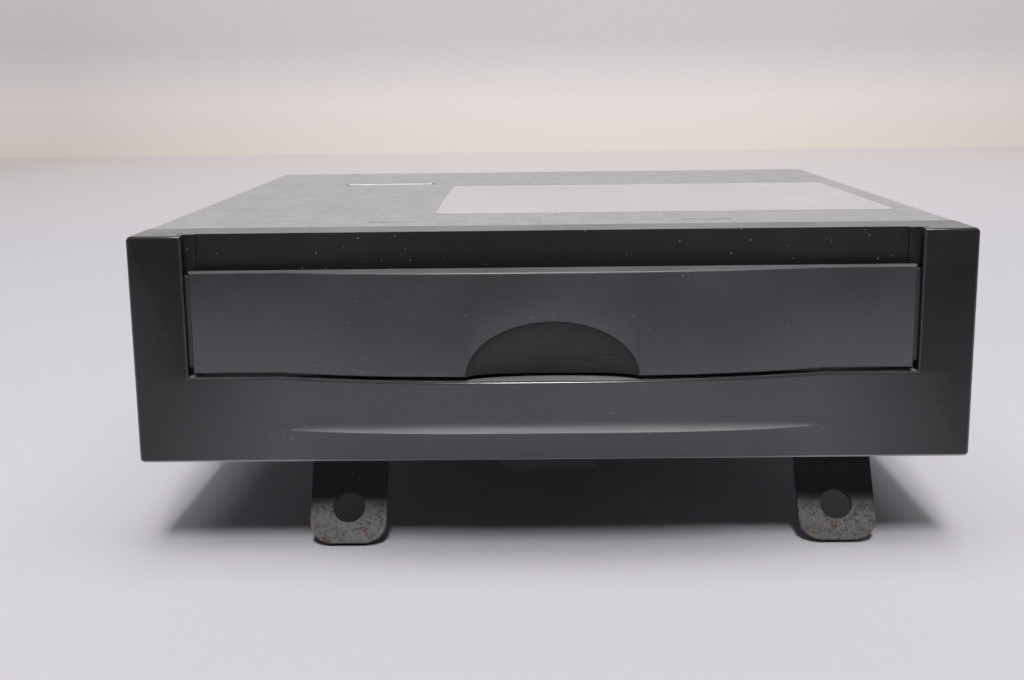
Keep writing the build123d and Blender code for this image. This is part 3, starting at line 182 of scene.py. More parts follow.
hairShape = {
    "directions": ((0.12, 1.0, 34.0), (-0.42, 1.9, 26.0), (1.25, 1.5, 30.0)),  # radians, shortness, thinness
    "faceOn": 0.7, "longest": 0.3, "fade": (1.0, 0.4), "share": 0.3, "areaScale": 30.0, "areaRange": (0.42, 0.6),
}


def makeHairlines():  # straight hairlines of random length in three directions, only here and there
    tree, inside, out = newGroup("hairlines", {"Density": 60.0, "Amount": 0.5}, ["Mask"])
    shape = hairShape
    facing = axes(tree, put(tree, "ShaderNodeTexCoord").outputs["Normal"])
    spot = axes(tree, inside["Place"])
    turned = [calc(tree, "GREATER_THAN", calc(tree, "ABSOLUTE", facing[k]), shape["faceOn"]) for k in (0, 2)]
    sideways, upward = turned
    across = put(tree, "ShaderNodeMix", {0: sideways, 2: spot[0], 3: spot[1]}).outputs[0]
    along = put(tree, "ShaderNodeMix", {0: upward, 2: spot[2], 3: spot[1]}).outputs[0]
    flat = put(tree, "ShaderNodeCombineXYZ", {0: across, 1: along}).outputs[0]
    total = 0.0
    for turn, shortness, thinness in shape["directions"]:
        turning = {"Vector": flat, "Rotation": (0.0, 0.0, turn), "Scale": (shortness, shortness * thinness, 1.0)}
        spread = {"Vector": put(tree, "ShaderNodeMapping", turning).outputs[0], "Scale": inside["Density"]}
        cells = put(tree, "ShaderNodeTexVoronoi", spread, voronoi_dimensions="2D")
        chance = chances(tree, cells)
        far = calc(tree, "DIVIDE", cells.outputs["Distance"], times(tree, chance[1], shape["longest"]))
        chosen = calc(tree, "LESS_THAN", chance[0], shape["share"])
        total = calc(tree, "MAXIMUM", total, times(tree, ramp(tree, far, *shape["fade"]), chosen, chance[2]))
    here = ramp(tree, noise(tree, inside["Place"], shape["areaScale"]), *shape["areaRange"])
    tree.links.new(times(tree, total, here, inside["Amount"]), out["Mask"])
    return tree


sheetShape = {
    "run": (60.0, 1.2, 60.0), "streakScale": 22.0, "streakDetail": 5.0, "streakRough": 0.6,
    "spangleScale": 260.0, "spangle": 0.06,
    "stainScale": 34.0, "stainDetail": 9.0, "stainRough": 0.7, "stainWarp": 0.6, "stainRange": (0.52, 0.72),
}


def makeRolledSheet():  # rolled and galvanised sheet: streaks, faint spangles and soft stains
    tree, inside, out = newGroup("rolledSheet", {"Streaks": 0.4, "Stains": 0.5}, ["Tone", "Stain", "Height"])
    place, shape = inside["Place"], sheetShape
    run = put(tree, "ShaderNodeMapping", {"Vector": place, "Scale": shape["run"]}).outputs[0]
    streak = noise(tree, run, shape["streakScale"], shape["streakDetail"], shape["streakRough"])
    cells = put(tree, "ShaderNodeTexVoronoi", {"Vector": place, "Scale": shape["spangleScale"]})
    leaf = times(tree, calc(tree, "SUBTRACT", chances(tree, cells)[0], 0.5), shape["spangle"])
    stain = noise(tree, place, shape["stainScale"], shape["stainDetail"], shape["stainRough"], shape["stainWarp"])
    lift = times(tree, calc(tree, "SUBTRACT", streak, 0.5), inside["Streaks"])
    tree.links.new(calc(tree, "ADD", calc(tree, "ADD", lift, leaf), 0.5), out["Tone"])
    tree.links.new(times(tree, ramp(tree, stain, *shape["stainRange"]), inside["Stains"]), out["Stain"])
    tree.links.new(streak, out["Height"])
    return tree


spotShape = {"detail": 8.0, "roughness": 0.72, "edge": 0.72, "coverShare": 0.3, "soft": 0.06}


def makeSpots():  # rust blooms and dark mottling
    tree, inside, out = newGroup("spots", {"Scale": 300.0, "Cover": 0.3}, ["Mask"])
    blot = noise(tree, inside["Place"], inside["Scale"], spotShape["detail"], spotShape["roughness"])
    edge = calc(tree, "SUBTRACT", spotShape["edge"], times(tree, inside["Cover"], spotShape["coverShare"]))
    tree.links.new(ramp(tree, blot, edge, calc(tree, "ADD", edge, spotShape["soft"])), out["Mask"])
    return tree


groups = {
    "grain": makeMouldGrain(),
    "dust": makeDust(),
    "wear": makeEdgeWear(),
    "hairlines": makeHairlines(),
    "sheet": makeRolledSheet(),
    "spots": makeSpots(),
}
print("effects:", len(groups), "shader groups")

# Finishes: one dictionary each; lengths in metres, colours as linear light.

plainLook = {
    "colour": (0.06, 0.058, 0.063), "metal": 0.0, "rough": 0.5, "roughSwing": 0.08, "specular": 0.5,
    "grainScale": 2600.0, "grainDepth": 0.25, "cloud": 0.12, "cloudScale": 28.0,
    "edgeRound": 0.00015, "wear": 0.0, "wearWidth": 0.0004, "wearColour": (0.3, 0.3, 0.31), "polish": 0.0,
    "film": 0.06, "specks": 0.12, "speckScale": 1000.0, "speckShow": 0.5, "dustColour": (0.42, 0.4, 0.37),
    "hairlines": 0.0, "hairScale": 60.0, "hairColour": (0.3, 0.3, 0.3),
    "sheetMetal": False, "streaks": 0.0, "stains": 0.0, "stainColour": (0.2, 0.19, 0.18),
    "rust": 0.0, "rustScale": 300.0, "rustColour": (0.16, 0.065, 0.03),
    "mottle": 0.0, "mottleScale": 900.0, "mottleColour": (0.03, 0.03, 0.032),
    "area": None, "areaColour": None, "areaRough": 0.0,
}

looks = {
    "face_plastic": {
        "colour": (0.018, 0.0173, 0.0192), "rough": 0.38, "specular": 0.55,
        # the nose's area colour is a painted sheen on the crowned middle below the ledge
        "area": "nose", "areaColour": (0.084, 0.0808, 0.0894), "areaRough": 0.07,
        "film": 0.62, "dustColour": (0.50, 0.48, 0.48), "specks": 0.20,
        "hairlines": 0.25, "hairColour": (0.12, 0.12, 0.125),
        "wear": 0.6, "wearColour": (0.10, 0.098, 0.105), "wearWidth": 0.0005, "polish": 0.3,
    },
    "shutter_plastic": {
        "colour": (0.0575, 0.0553, 0.0612), "rough": 0.35, "specular": 0.9,
        # the scoop's area colour is painted shade of the recess; the scoop is also rougher
        "area": "scoop", "areaColour": (0.0088, 0.0086, 0.0093), "areaRough": 0.25,
        "film": 0.30, "dustColour": (0.44, 0.43, 0.44), "specks": 0.30,
        "hairlines": 0.30, "hairColour": (0.15, 0.15, 0.155),
        "wear": 0.6, "wearColour": (0.11, 0.108, 0.115), "wearWidth": 0.0005, "polish": 0.25,
    },
    "rubbed_edge_and_painted_highlight": {
        "colour": (0.05, 0.0485, 0.053), "rough": 0.17, "roughSwing": 0.02, "specular": 0.9,
        # the area colour is a painted highlight along the face's bottom edge
        "area": "lowerEdgeHighlight", "areaColour": (0.36, 0.353, 0.36), "areaRough": 0.2,
        "specks": 0.05, "edgeRound": 0.0, "grainDepth": 0.05,
    },
    "felt": {"colour": (0.012, 0.012, 0.013), "rough": 0.95, "grainDepth": 0.9, "grainScale": 5200.0, "specks": 0.3},
    "case_steel": {
        "colour": (0.705, 0.696, 0.707), "metal": 0.65, "rough": 0.46, "roughSwing": 0.03,
        # the underside's area colour is painted shade that darkens the shadow under the case
        "area": "underside", "areaColour": (0.2, 0.197, 0.2), "areaRough": 0.1,
        "cloud": 0.04, "cloudScale": 60.0, "grainDepth": 0.10, "grainScale": 1600.0,
        "sheetMetal": True, "streaks": 0.16, "stains": 0.16, "stainColour": (0.5, 0.49, 0.49),
        "film": 0.10, "hairlines": 0.4, "hairScale": 45.0, "hairColour": (0.8, 0.8, 0.81),
        "wear": 0.4, "wearColour": (0.75, 0.75, 0.76),
    },
    "foot_steel": {
        "colour": (0.088, 0.086, 0.083), "metal": 0.3,
        # the area colour is a painted shadow over the foot's upper leg
        "area": "legShadow", "areaColour": (0.045, 0.0445, 0.0457),
        "cloud": 0.35, "cloudScale": 500.0, "grainDepth": 0.2,
        "sheetMetal": True, "streaks": 0.1, "stains": 0.5, "stainColour": (0.24, 0.235, 0.225),
        "mottle": 0.68, "mottleScale": 1300.0, "mottleColour": (0.02, 0.02, 0.022), "rust": 0.42,
        "film": 0.05, "hairlines": 0.6, "hairScale": 110.0, "hairColour": (0.03, 0.03, 0.03),
    },
    "dark_steel": {
        "colour": (0.016, 0.016, 0.0165), "metal": 0.2, "rough": 0.55, "film": 0.1, "specks": 0.05, "wear": 0.25,
    },
    "screw_steel": {
        "colour": (0.5, 0.49, 0.46), "metal": 0.9, "rough": 0.34, "grainDepth": 0.1, "wear": 0.2, "stains": 0.3,
    },
    "circuit_board": {
        "colour": (0.012, 0.075, 0.036), "rough": 0.32, "grainScale": 900.0, "grainDepth": 0.1, "cloud": 0.25,
    },
    "chip_black": {"colour": (0.018, 0.018, 0.019), "rough": 0.55, "grainScale": 4200.0, "grainDepth": 0.3},
    "capacitor_can": {"colour": (0.6, 0.6, 0.61), "metal": 0.95, "rough": 0.3, "grainDepth": 0.08},
    "connector_plastic": {"colour": (0.56, 0.55, 0.51), "rough": 0.45, "grainDepth": 0.12, "cloud": 0.08},
    "contact_metal": {"colour": (0.68, 0.55, 0.28), "metal": 0.95, "rough": 0.28, "grainDepth": 0.05},
    "antenna_plastic": {"colour": (0.03, 0.03, 0.032), "rough": 0.45},
    "switch_black": {"colour": (0.02, 0.02, 0.021), "rough": 0.45},
    "deck_steel": {
        "colour": (0.45, 0.44, 0.40), "metal": 0.8, "rough": 0.4, "grainDepth": 0.06,
        "sheetMetal": True, "streaks": 0.12, "stains": 0.2, "wear": 0.3,
    },
    "damper_rubber": {"colour": (0.015, 0.015, 0.015), "rough": 0.8, "grainDepth": 0.4},
    "guide_plastic": {"colour": (0.03, 0.03, 0.032), "rough": 0.48},
    "shaft_steel": {"colour": (0.6, 0.6, 0.61), "metal": 1.0, "rough": 0.22, "grainDepth": 0.05},
    "roller_rubber": {"colour": (0.022, 0.022, 0.022), "rough": 0.78, "grainDepth": 0.5, "grainScale": 3600.0},
    "gear_plastic": {"colour": (0.72, 0.69, 0.6), "rough": 0.4, "grainDepth": 0.08},
    "motor_can": {
        "colour": (0.5, 0.5, 0.5), "metal": 0.9, "rough": 0.32, "grainDepth": 0.05,
        "sheetMetal": True, "streaks": 0.15, "stains": 0.15, "wear": 0.2,
    },
    "arm_steel": {
        "colour": (0.45, 0.45, 0.45), "metal": 0.9, "rough": 0.36, "grainDepth": 0.06,
        "sheetMetal": True, "streaks": 0.12, "stains": 0.15, "wear": 0.3,
    },
    "sled_alloy": {"colour": (0.5, 0.5, 0.52), "metal": 0.85, "rough": 0.42, "grainDepth": 0.3, "grainScale": 1800.0},
    "label_paper": {
        "colour": (0.64, 0.614, 0.608), "rough": 0.62, "grainScale": 3000.0, "grainDepth": 0.08, "cloud": 0.05,
        "film": 0.12, "specks": 0.3, "edgeRound": 0.0,
    },
}


areas = {  # where each finish changes: metres, and shares for what faces down and for the scoop's edge
    "nose": {"across": (0.086, 0.056), "up": (0.0404, 0.0392)},
    "legShadow": {"bare": 0.0083, "painted": 0.0087, "ragged": 0.0012, "raggedScale": 700.0, "raggedDetail": 5.0},
    "scoop": {"middleZ": 0.0405, "halfX": 0.0182, "halfZ": 0.0118, "edge": (1.0, 0.94)},
    "lowerEdgeHighlight": {"up": (0.0217, 0.0212)},
    "underside": {"facing": (-0.5, -0.9)},
}


def areaMask(tree, place, kind):
    area = areas[kind]
    if kind == "underside":  # painted shade: the sheet is painted dark where it faces down, which deepens the shadow under the case
        return ramp(tree, axes(tree, put(tree, "ShaderNodeTexCoord").outputs["Normal"])[2], *area["facing"])
    x, _, z = axes(tree, place)
    if kind == "nose":  # painted sheen: the crowned middle below the ledge is painted paler than the pillars
        return times(tree, ramp(tree, calc(tree, "ABSOLUTE", x), *area["across"]), ramp(tree, z, *area["up"]))
    if kind == "lowerEdgeHighlight":  # the face's bottom edge is painted pale: a painted highlight
        return ramp(tree, z, *area["up"])
    if kind == "legShadow":  # painted shadow: the upper leg of each foot is painted dark where the case shades it, and its lower end is bare metal
        ragged = calc(tree, "SUBTRACT", noise(tree, place, area["raggedScale"], area["raggedDetail"]), 0.5)
        height = calc(tree, "ADD", z, times(tree, ragged, area["ragged"]))
        return ramp(tree, height, area["bare"], area["painted"])
    # the thumb scoop is rougher, and is painted dark as painted shade of the recess
    across = calc(tree, "DIVIDE", x, area["halfX"])
    up = calc(tree, "DIVIDE", calc(tree, "SUBTRACT", z, area["middleZ"]), area["halfZ"])
    far = calc(tree, "ADD", times(tree, across, across), times(tree, up, up))
    return ramp(tree, far, *area["edge"])


def opaque(colour):
    return (*colour, 1.0)


relief = {  # what each effect adds to the roughness or the height, and how strongly the height shows
    "stainRough": 0.18, "rustRough": 0.3, "filmRough": 0.4, "streakHeight": 0.5, "hairDepth": 0.4, "speckHeight": 0.3,
    "strength": 0.35, "distance": 0.00012, "roundSamples": 4,
}


def makeFinish(name, changes):
    look = {**plainLook, **changes}
    material = bpy.data.materials.new(name)
    material.use_nodes = True
    tree = material.node_tree
    shader = tree.nodes["Principled BSDF"]
    place = put(tree, "ShaderNodeTexCoord").outputs["Object"]
    grain = useGroup(tree, groups["grain"], Place=place, Grain_Scale=look["grainScale"], Cloud_Scale=look["cloudScale"])
    specks, speckScale = look["specks"], look["speckScale"]
    dust = useGroup(tree, groups["dust"], Place=place, Film=look["film"], Specks=specks, Speck_Scale=speckScale)

    def over(below, share, key):  # lay the look's colour of that name over what is below
        return blendColour(tree, share, below, opaque(look[key]))

    pale = opaque([min(1.0, c * (1 + look["cloud"])) for c in look["colour"]])
    deep = opaque([c * (1 - look["cloud"]) for c in look["colour"]])
    colour = blendColour(tree, grain["Cloud"], deep, pale)
    swing = look["roughSwing"]
    rough = ramp(tree, grain["Cloud"], 0.0, 1.0, look["rough"] - swing, look["rough"] + swing)
    height = times(tree, grain["Height"], look["grainDepth"])
    onTop = look["area"] == "legShadow"  # the painted shadow on the foot's upper leg lies over the rust and the mottling
    if look["area"]:
        inside = areaMask(tree, place, look["area"])
        rough = calc(tree, "ADD", rough, times(tree, inside, look["areaRough"]))
        if not onTop:
            colour = over(colour, inside, "areaColour")
    if look["sheetMetal"] or look["stains"]:
        sheet = useGroup(tree, groups["sheet"], Place=place, Streaks=look["streaks"], Stains=look["stains"])
        tone = times(tree, sheet["Tone"], 2.0)
        grey = put(tree, "ShaderNodeCombineXYZ", {0: tone, 1: tone, 2: tone}).outputs[0]
        colour = over(blendColour(tree, 1.0, colour, grey, "MULTIPLY"), sheet["Stain"], "stainColour")
        rough = calc(tree, "ADD", rough, times(tree, sheet["Stain"], relief["stainRough"]))
        height = calc(tree, "ADD", height, times(tree, sheet["Height"], look["streaks"] * relief["streakHeight"]))
    if look["mottle"]:
        blots = useGroup(tree, groups["spots"], Place=place, Scale=look["mottleScale"], Cover=look["mottle"])
        colour = over(colour, blots["Mask"], "mottleColour")
    if look["hairlines"]:
        hair = useGroup(tree, groups["hairlines"], Place=place, Density=look["hairScale"], Amount=look["hairlines"])
        colour = over(colour, hair["Mask"], "hairColour")
        height = calc(tree, "SUBTRACT", height, times(tree, hair["Mask"], relief["hairDepth"]))
    if look["wear"]:
        wear = useGroup(tree, groups["wear"], Place=place, Width=look["wearWidth"], Breakup=1.0 - look["wear"])
        colour = over(colour, times(tree, wear["Mask"], look["wear"]), "wearColour")
        rough = calc(tree, "SUBTRACT", rough, times(tree, wear["Mask"], look["polish"]))
    if look["rust"]:
        spots = useGroup(tree, groups["spots"], Place=place, Scale=look["rustScale"], Cover=look["rust"])
        colour = over(colour, spots["Mask"], "rustColour")
        rough = calc(tree, "ADD", rough, times(tree, spots["Mask"], relief["rustRough"]))
    if onTop:
        colour = over(colour, inside, "areaColour")
    colour = over(colour, dust["Film"], "dustColour")
    colour = over(colour, times(tree, dust["Speck"], look["speckShow"]), "dustColour")
    rough = calc(tree, "ADD", rough, times(tree, dust["Film"], relief["filmRough"]), clamp=True)
    height = calc(tree, "ADD", height, times(tree, dust["Speck"], relief["speckHeight"]))

    surface = {"Height": height, "Strength": relief["strength"], "Distance": relief["distance"]}
    bump = put(tree, "ShaderNodeBump", surface)
    if look["edgeRound"]:
        rounded = put(tree, "ShaderNodeBevel", {"Radius": look["edgeRound"]}, samples=relief["roundSamples"])
        tree.links.new(rounded.outputs[0], bump.inputs["Normal"])
    tree.links.new(bump.outputs[0], shader.inputs["Normal"])
    tree.links.new(colour, shader.inputs["Base Color"])
    tree.links.new(rough, shader.inputs["Roughness"])
    shader.inputs["Metallic"].default_value = look["metal"]
    shader.inputs["Specular IOR Level"].default_value = look["specular"]
    material.diffuse_color = opaque(look["colour"])
    return material


finishes = {name: makeFinish(name, changes) for name, changes in looks.items()}

lens = {"Base Color": (0.55, 0.68, 0.95, 1.0), "Roughness": 0.04, "Transmission Weight": 0.85}
lensGlass = bpy.data.materials.new("lens_glass")
lensGlass.use_nodes = True
fill(lensGlass.node_tree, lensGlass.node_tree.nodes["Principled BSDF"], lens)
finishes["lens_glass"] = lensGlass

slotOf = {row["node"]: row["material_slot"] for row in frame["record"]["subparts"]}
for name, node in nodes.items():
    node.data.materials.clear()
    node.data.materials.append(finishes[slotOf[name]])
print("finishes:", len(finishes))


# Mesh helpers

weldGap, closeBy = 2e-7, 1e-6  # metres
flatTurn, sharpTurn = math.radians(0.02), math.radians(35)
quarter = (0.0, 0.4, 0.8, 1.2, math.pi / 2)  # angles round a corner


def addObject(name, data):
    made = bpy.data.objects.new(name, data)
    bpy.context.scene.collection.objects.link(made)
    return made


def newPiece(name, shape, slotName, body="chassis", smoothAngle=30.0, second=None):
    mesh = bpy.data.meshes.new(name)
    shape.normal_update()
    shape.to_mesh(mesh)
    shape.free()
    piece = addObject(name, mesh)
    mesh.materials.append(finishes[slotName])
    if second:
        mesh.materials.append(finishes[second])
    if smoothAngle:
        mesh.shade_smooth()
        mesh.set_sharp_from_angle(angle=math.radians(smoothAngle))
    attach(piece, body)
    return piece


def weld(shape):
    bmesh.ops.remove_doubles(shape, verts=shape.verts, dist=weldGap)
    bmesh.ops.dissolve_degenerate(shape, dist=weldGap, edges=shape.edges)
    bmesh.ops.recalc_face_normals(shape, faces=shape.faces)


def addBox(shape, low, high):
    made = bmesh.ops.create_cube(shape, size=1.0)["verts"]
    size, middle = high - low, (high + low) / 2
    for vertex in made:
        vertex.co = Vector([vertex.co[i] * abs(size[i]) + middle[i] for i in range(3)])
    return made


def mergeFlat(shape):  # one polygon for each flat face, with no vertex left inside a straight edge
    bmesh.ops.dissolve_limit(shape, angle_limit=flatTurn, verts=shape.verts, edges=shape.edges)
    flat = [e for e in shape.edges if len(e.link_faces) == 2 and e.calc_face_angle(1.0) < flatTurn]
    bmesh.ops.dissolve_edges(shape, edges=flat, use_verts=True, use_face_split=False)


def skin(shape, rings):  # closed tube through rings of vertices, with both its ends
    for first, second in zip(rings, rings[1:]):
        for k in range(len(first)):
            j = (k + 1) % len(first)
            shape.faces.new((first[k], first[j], second[j], second[k]))
    shape.faces.new(list(reversed(rings[0])))
    shape.faces.new(rings[-1])


def roundedOutline(low, high, radius, steps):  # points round a rectangle with rounded corners
    points = []
    for right, top, first in ((1, 1, 0.0), (0, 1, 0.5), (0, 0, 1.0), (1, 0, 1.5)):
        centreX = high[0] - radius if right else low[0] + radius
        centreY = high[1] - radius if top else low[1] + radius
        for k in range(steps + 1):
            angle = (first + 0.5 * k / steps) * math.pi
            points.append((centreX + radius * math.cos(angle), centreY + radius * math.sin(angle)))
    return points


def sharpEdges(shape, turn):
    return [edge for edge in shape.edges if len(edge.link_faces) == 2 and edge.calc_face_angle(0) > turn]


def edgesOf(verts):
    return list({edge for vertex in verts for edge in vertex.link_edges})


def roundEdges(shape, edges, radius, segments, **settings):
    bmesh.ops.bevel(shape, geom=edges, offset=radius * mm, segments=segments, affect="EDGES", **settings)


def carve(shape, cutter):  # boolean difference between two bmeshes, as a new one
    objects = []
    for part in (shape, cutter):
        mesh = bpy.data.meshes.new("carving")
        part.to_mesh(mesh)
        part.free()
        objects.append(addObject("carving", mesh))
    modifier = objects[0].modifiers.new("cut", "BOOLEAN")
    modifier.object, modifier.operation, modifier.solver = objects[1], "DIFFERENCE", "EXACT"
    modifier.use_self = False
    bpy.context.view_layer.update()
    result = bpy.data.meshes.new_from_object(objects[0].evaluated_get(bpy.context.evaluated_depsgraph_get()))
    carved = bmesh.new()
    carved.from_mesh(result)
    bpy.data.meshes.remove(result)
    for piece in objects:
        mesh = piece.data
        bpy.data.objects.remove(piece)
        bpy.data.meshes.remove(mesh)
    return carved


def curvePoint(first, handle, last, t):  # quadratic curve
    return tuple(a * (1 - t) ** 2 + 2 * b * t * (1 - t) + c * t * t for a, b, c in zip(first, handle, last))


# Front moulding: pillars, ledge, crowned nose with its crest, and the recessed panel.
# Here and in the pieces that follow, the settings are drawing millimetres.

front = {
    "faceHalf": 89.0, "faceTop": 49.0, "depth": 15.0, "wall": 2.2, "cornerRadius": 1.0, "edgeRadius": 0.5,
    "ledge": 18.6, "recessHalf": 77.5, "stripDepth": 3.3, "panelHalf": 75.3, "panelDepth": 4.2, "panelBack": 6.2,
    "noseHalf": 57.5, "noseTop": 41.4, "crownPower": 1.65, "topReach": 4.0, "lean": 0.091,
    "flareZ": 11.9, "flareHandle": (0.15, 0.8), "crestZ": 8.0, "crestReach": 8.2, "crestPower": 0.36,
    "crestEndRise": -0.8, "chinFullness": 0.5, "stations": 34, "chinSteps": 10, "flareSteps": 8,
    "slotHalf": 64.1, "slotHalfHeight": 3.9, "discZ": 23.5, "buttonX": 71.0, "buttonHole": (7.5, 4.5, 1.1),
    "grooveFront": 1.8, "grooveBack": 3.2, "grooveEnd": 78.8, "grooveFloor": 0.05,
}
snap = {"x": (86.25, 87.85), "y": (11.0, 23.0), "z": (15.0, 35.0), "round": 0.3}


def crown(x):
    return math.cos(math.pi / 2 * min(1.0, abs(x) / front["noseHalf"]) ** front["crownPower"])


def noseReach(z):
    return front["topReach"] + front["lean"] * (front["noseTop"] - z)


def acrossNose():  # places that crowd together towards the nose's ends
    count = front["stations"]
    shares = [step / count for step in range(-count, count + 1)]
    return [front["noseHalf"] * (0.5 * u + 0.5 * math.sin(math.pi / 2 * u)) for u in shares]


def faceSection(x, faceDepth, cornerDrop):  # from the lower rear edge round the front to the upper rear edge
    share = crown(x)
    low, high = cornerDrop, front["faceTop"] - cornerDrop
    crestZ = front["crestZ"] + front["crestEndRise"] * (1 - share)
    foot = (0.0, 0.0)
    flareY = -noseReach(front["flareZ"]) * share
    beyond = (front["crestReach"] - noseReach(front["flareZ"])) * share ** front["crestPower"]  # steep to its ends
    crest = (flareY - beyond, crestZ)
    chinHandle = (crest[0] / 2 - front["chinFullness"] * share, crestZ / 2)
    flare = (flareY, front["flareZ"])
    flareHandle = (flareY - front["flareHandle"][0] * share, crestZ + front["flareHandle"][1])
    ledge = (-noseReach(front["ledge"]) * share, front["ledge"])
    points = [(front["depth"], low)]
    points += [curvePoint(foot, chinHandle, crest, k / front["chinSteps"]) for k in range(front["chinSteps"])]
    points += [curvePoint(crest, flareHandle, flare, k / front["flareSteps"]) for k in range(front["flareSteps"])]
    points += [flare, ledge, (faceDepth, front["ledge"]), (faceDepth, high), (front["depth"], high)]
    return [at(x, y, min(max(z, low), high)) for y, z in points]


def addButtonHole(shape, x, y0, y1, z):  # prism along Y
    width, height, radius = front["buttonHole"]
    outline = roundedOutline((-width / 2, -height / 2), (width / 2, height / 2), radius, 5)
    skin(shape, [[shape.verts.new(at(x + across, y, z + up)) for across, up in outline] for y in (y0, y1)])


def makeFrontMoulding():
    half, radius, strip, wall = (front[key] for key in ("faceHalf", "cornerRadius", "stripDepth", "wall"))
    right = [(front["panelHalf"], front["panelDepth"], 0.0), (front["panelHalf"], strip, 0.0)]
    right += [(front["recessHalf"], strip, 0.0), (front["recessHalf"], 0.0, 0.0)]
    right += [(half - radius + radius * math.sin(a), 0.0, radius * (1 - math.cos(a))) for a in quarter]
    stations = [(-x, depth, drop) for x, depth, drop in reversed(right)]
    stations += [(x, front["panelDepth"], 0.0) for x in acrossNose()] + right
    shape = bmesh.new()
    rows = [[shape.verts.new(point) for point in faceSection(*station)] for station in stations]
    for first, second in zip(rows, rows[1:]):
        for corners in zip(first, first[1:], second[1:], second):
            shape.faces.new(corners)
    for row in (rows[0], rows[-1]):
        shape.faces.new(row)
    shape.faces.new([row[0] for row in rows] + [row[-1] for row in reversed(rows)])
    weld(shape)
    mergeFlat(shape)

    cavity = bmesh.new()
    corner = at(half - wall, front["depth"] + 1, front["faceTop"] - wall)
    addBox(cavity, at(wall - half, front["panelBack"], wall), corner)
    shape = carve(shape, cavity)
    cuts = bmesh.new()
    for side in (-1, 1):  # the shutter's channels
        foot = at(side * (front["recessHalf"] - 1), front["grooveFront"], front["ledge"] + front["grooveFloor"])
        addBox(cuts, foot, at(side * front["grooveEnd"], front["grooveBack"], front["faceTop"] + 1))
    before, behind, discZ = front["panelDepth"] - 1, front["panelBack"] + 1, front["discZ"]
    slotX, slotZ = front["slotHalf"], front["slotHalfHeight"]
    addBox(cuts, at(-slotX, before, discZ - slotZ), at(slotX, behind, discZ + slotZ))
    addButtonHole(cuts, front["buttonX"], before, behind, discZ)
    bmesh.ops.recalc_face_normals(cuts, faces=cuts.faces)
    shape = carve(shape, cuts)
    weld(shape)

    # Round the edges that the light catches: outline of the face, the ledge and the pillars' inner corners.
    faceY, ledgeZ = at(0, 0, 0).y, at(0, 0, front["ledge"]).z
    reach = (front["recessHalf"] + 0.1) * mm
    outline, ledgeEdges = [], []
    for edge in sharpEdges(shape, sharpTurn):
        ends = [v.co for v in edge.verts]
        if all(abs(p.z - ledgeZ) < closeBy and p.y < faceY + closeBy and abs(p.x) < reach for p in ends):
            ledgeEdges.append(edge)
        elif all(abs(p.y - faceY) < closeBy for p in ends):
            outline.append(edge)
    roundEdges(shape, ledgeEdges + outline, front["edgeRadius"], 4, profile=0.5, clamp_overlap=False, material=1)

    for side in (-1, 1):  # snap tongues that reach into the case's sides
        corners = [at(side * snap["x"][k], snap["y"][k], snap["z"][k]) for k in (0, 1)]
        roundEdges(shape, edgesOf(addBox(shape, *corners)), snap["round"], 2)
    bmesh.ops.recalc_face_normals(shape, faces=shape.faces)
    return shape


moulding = newPiece("front_moulding", makeFrontMoulding(), "face_plastic", second="rubbed_edge_and_painted_highlight")
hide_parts("front_bezel")
print("front moulding:", len(moulding.data.polygons), "faces")


# Shutter: crowned skin with its thumb scoop and guide tongues

door = {
    "half": 76.4, "bottom": 19.5, "top": front["noseTop"], "back": 2.0, "edgeRadius": 0.6,
    "scoop": (18.2, 5.0, 11.8), "rimRadius": 0.22, "rimTurn": math.radians(18), "rimReach": (0.9, 1.03),
    "tongueEnd": 78.6, "tongueRoot": 75.2, "tongueBack": 3.0, "tongueInset": 1.0, "tongueRound": 0.2,
}


def onScoop(edge):  # both ends on the scoop's rim, above the door's lower rounding
    nearest, farthest = door["rimReach"]
    for vertex in edge.verts:
        x, z = vertex.co.x, vertex.co.z - at(0, 0, door["bottom"]).z
        far = (x / (door["scoop"][0] * mm)) ** 2 + (z / (door["scoop"][2] * mm)) ** 2
        if z < door["edgeRadius"] * mm or not nearest < far < farthest:
            return False
    return True


def makeShutter():
    half, back, bottom, top = (door[key] for key in ("half", "back", "bottom", "top"))
    shape = bmesh.new()
    rows = []
    for x in [-half] + acrossNose() + [half]:
        low, high = (-noseReach(z) * crown(x) for z in (bottom, top))
        section = [(back, bottom), (low, bottom), (high, top), (back, top)]
        rows.append([shape.verts.new(at(x, y, z)) for y, z in section])
    skin(shape, rows)
    weld(shape)
    mergeFlat(shape)
    backY = at(0, back, 0).y
    rims = [e for e in sharpEdges(shape, sharpTurn) if all(v.co.y < backY - closeBy for v in e.verts)]
    roundEdges(shape, rims, door["edgeRadius"], 5, profile=0.5, clamp_overlap=False)
    weld(shape)

    ball = bmesh.new()
    bmesh.ops.create_icosphere(ball, subdivisions=6, radius=1.0)
    centre = at(0, -noseReach(bottom), bottom)
    for vertex in ball.verts:
        vertex.co = centre + Vector([vertex.co[i] * door["scoop"][i] * mm for i in range(3)])
    shape = carve(shape, ball)
    weld(shape)
    rim = [edge for edge in sharpEdges(shape, door["rimTurn"]) if onScoop(edge)]
    roundEdges(shape, rim, door["rimRadius"], 2, profile=0.5, clamp_overlap=True, material=1)
    weld(shape)
    inset = door["tongueInset"]
    for side in (-1, 1):
        root = at(side * door["tongueRoot"], back, bottom + inset)
        tongue = addBox(shape, root, at(side * door["tongueEnd"], door["tongueBack"], top - inset))
        roundEdges(shape, edgesOf(tongue), door["tongueRound"], 2)
    bmesh.ops.recalc_face_normals(shape, faces=shape.faces)
    return shape


shutter = newPiece("shutter", makeShutter(), "shutter_plastic", body="door", second="rubbed_edge_and_painted_highlight")
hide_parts("front_door")
print("shutter:", len(shutter.data.polygons), "faces")


# Blank paper label on the cover

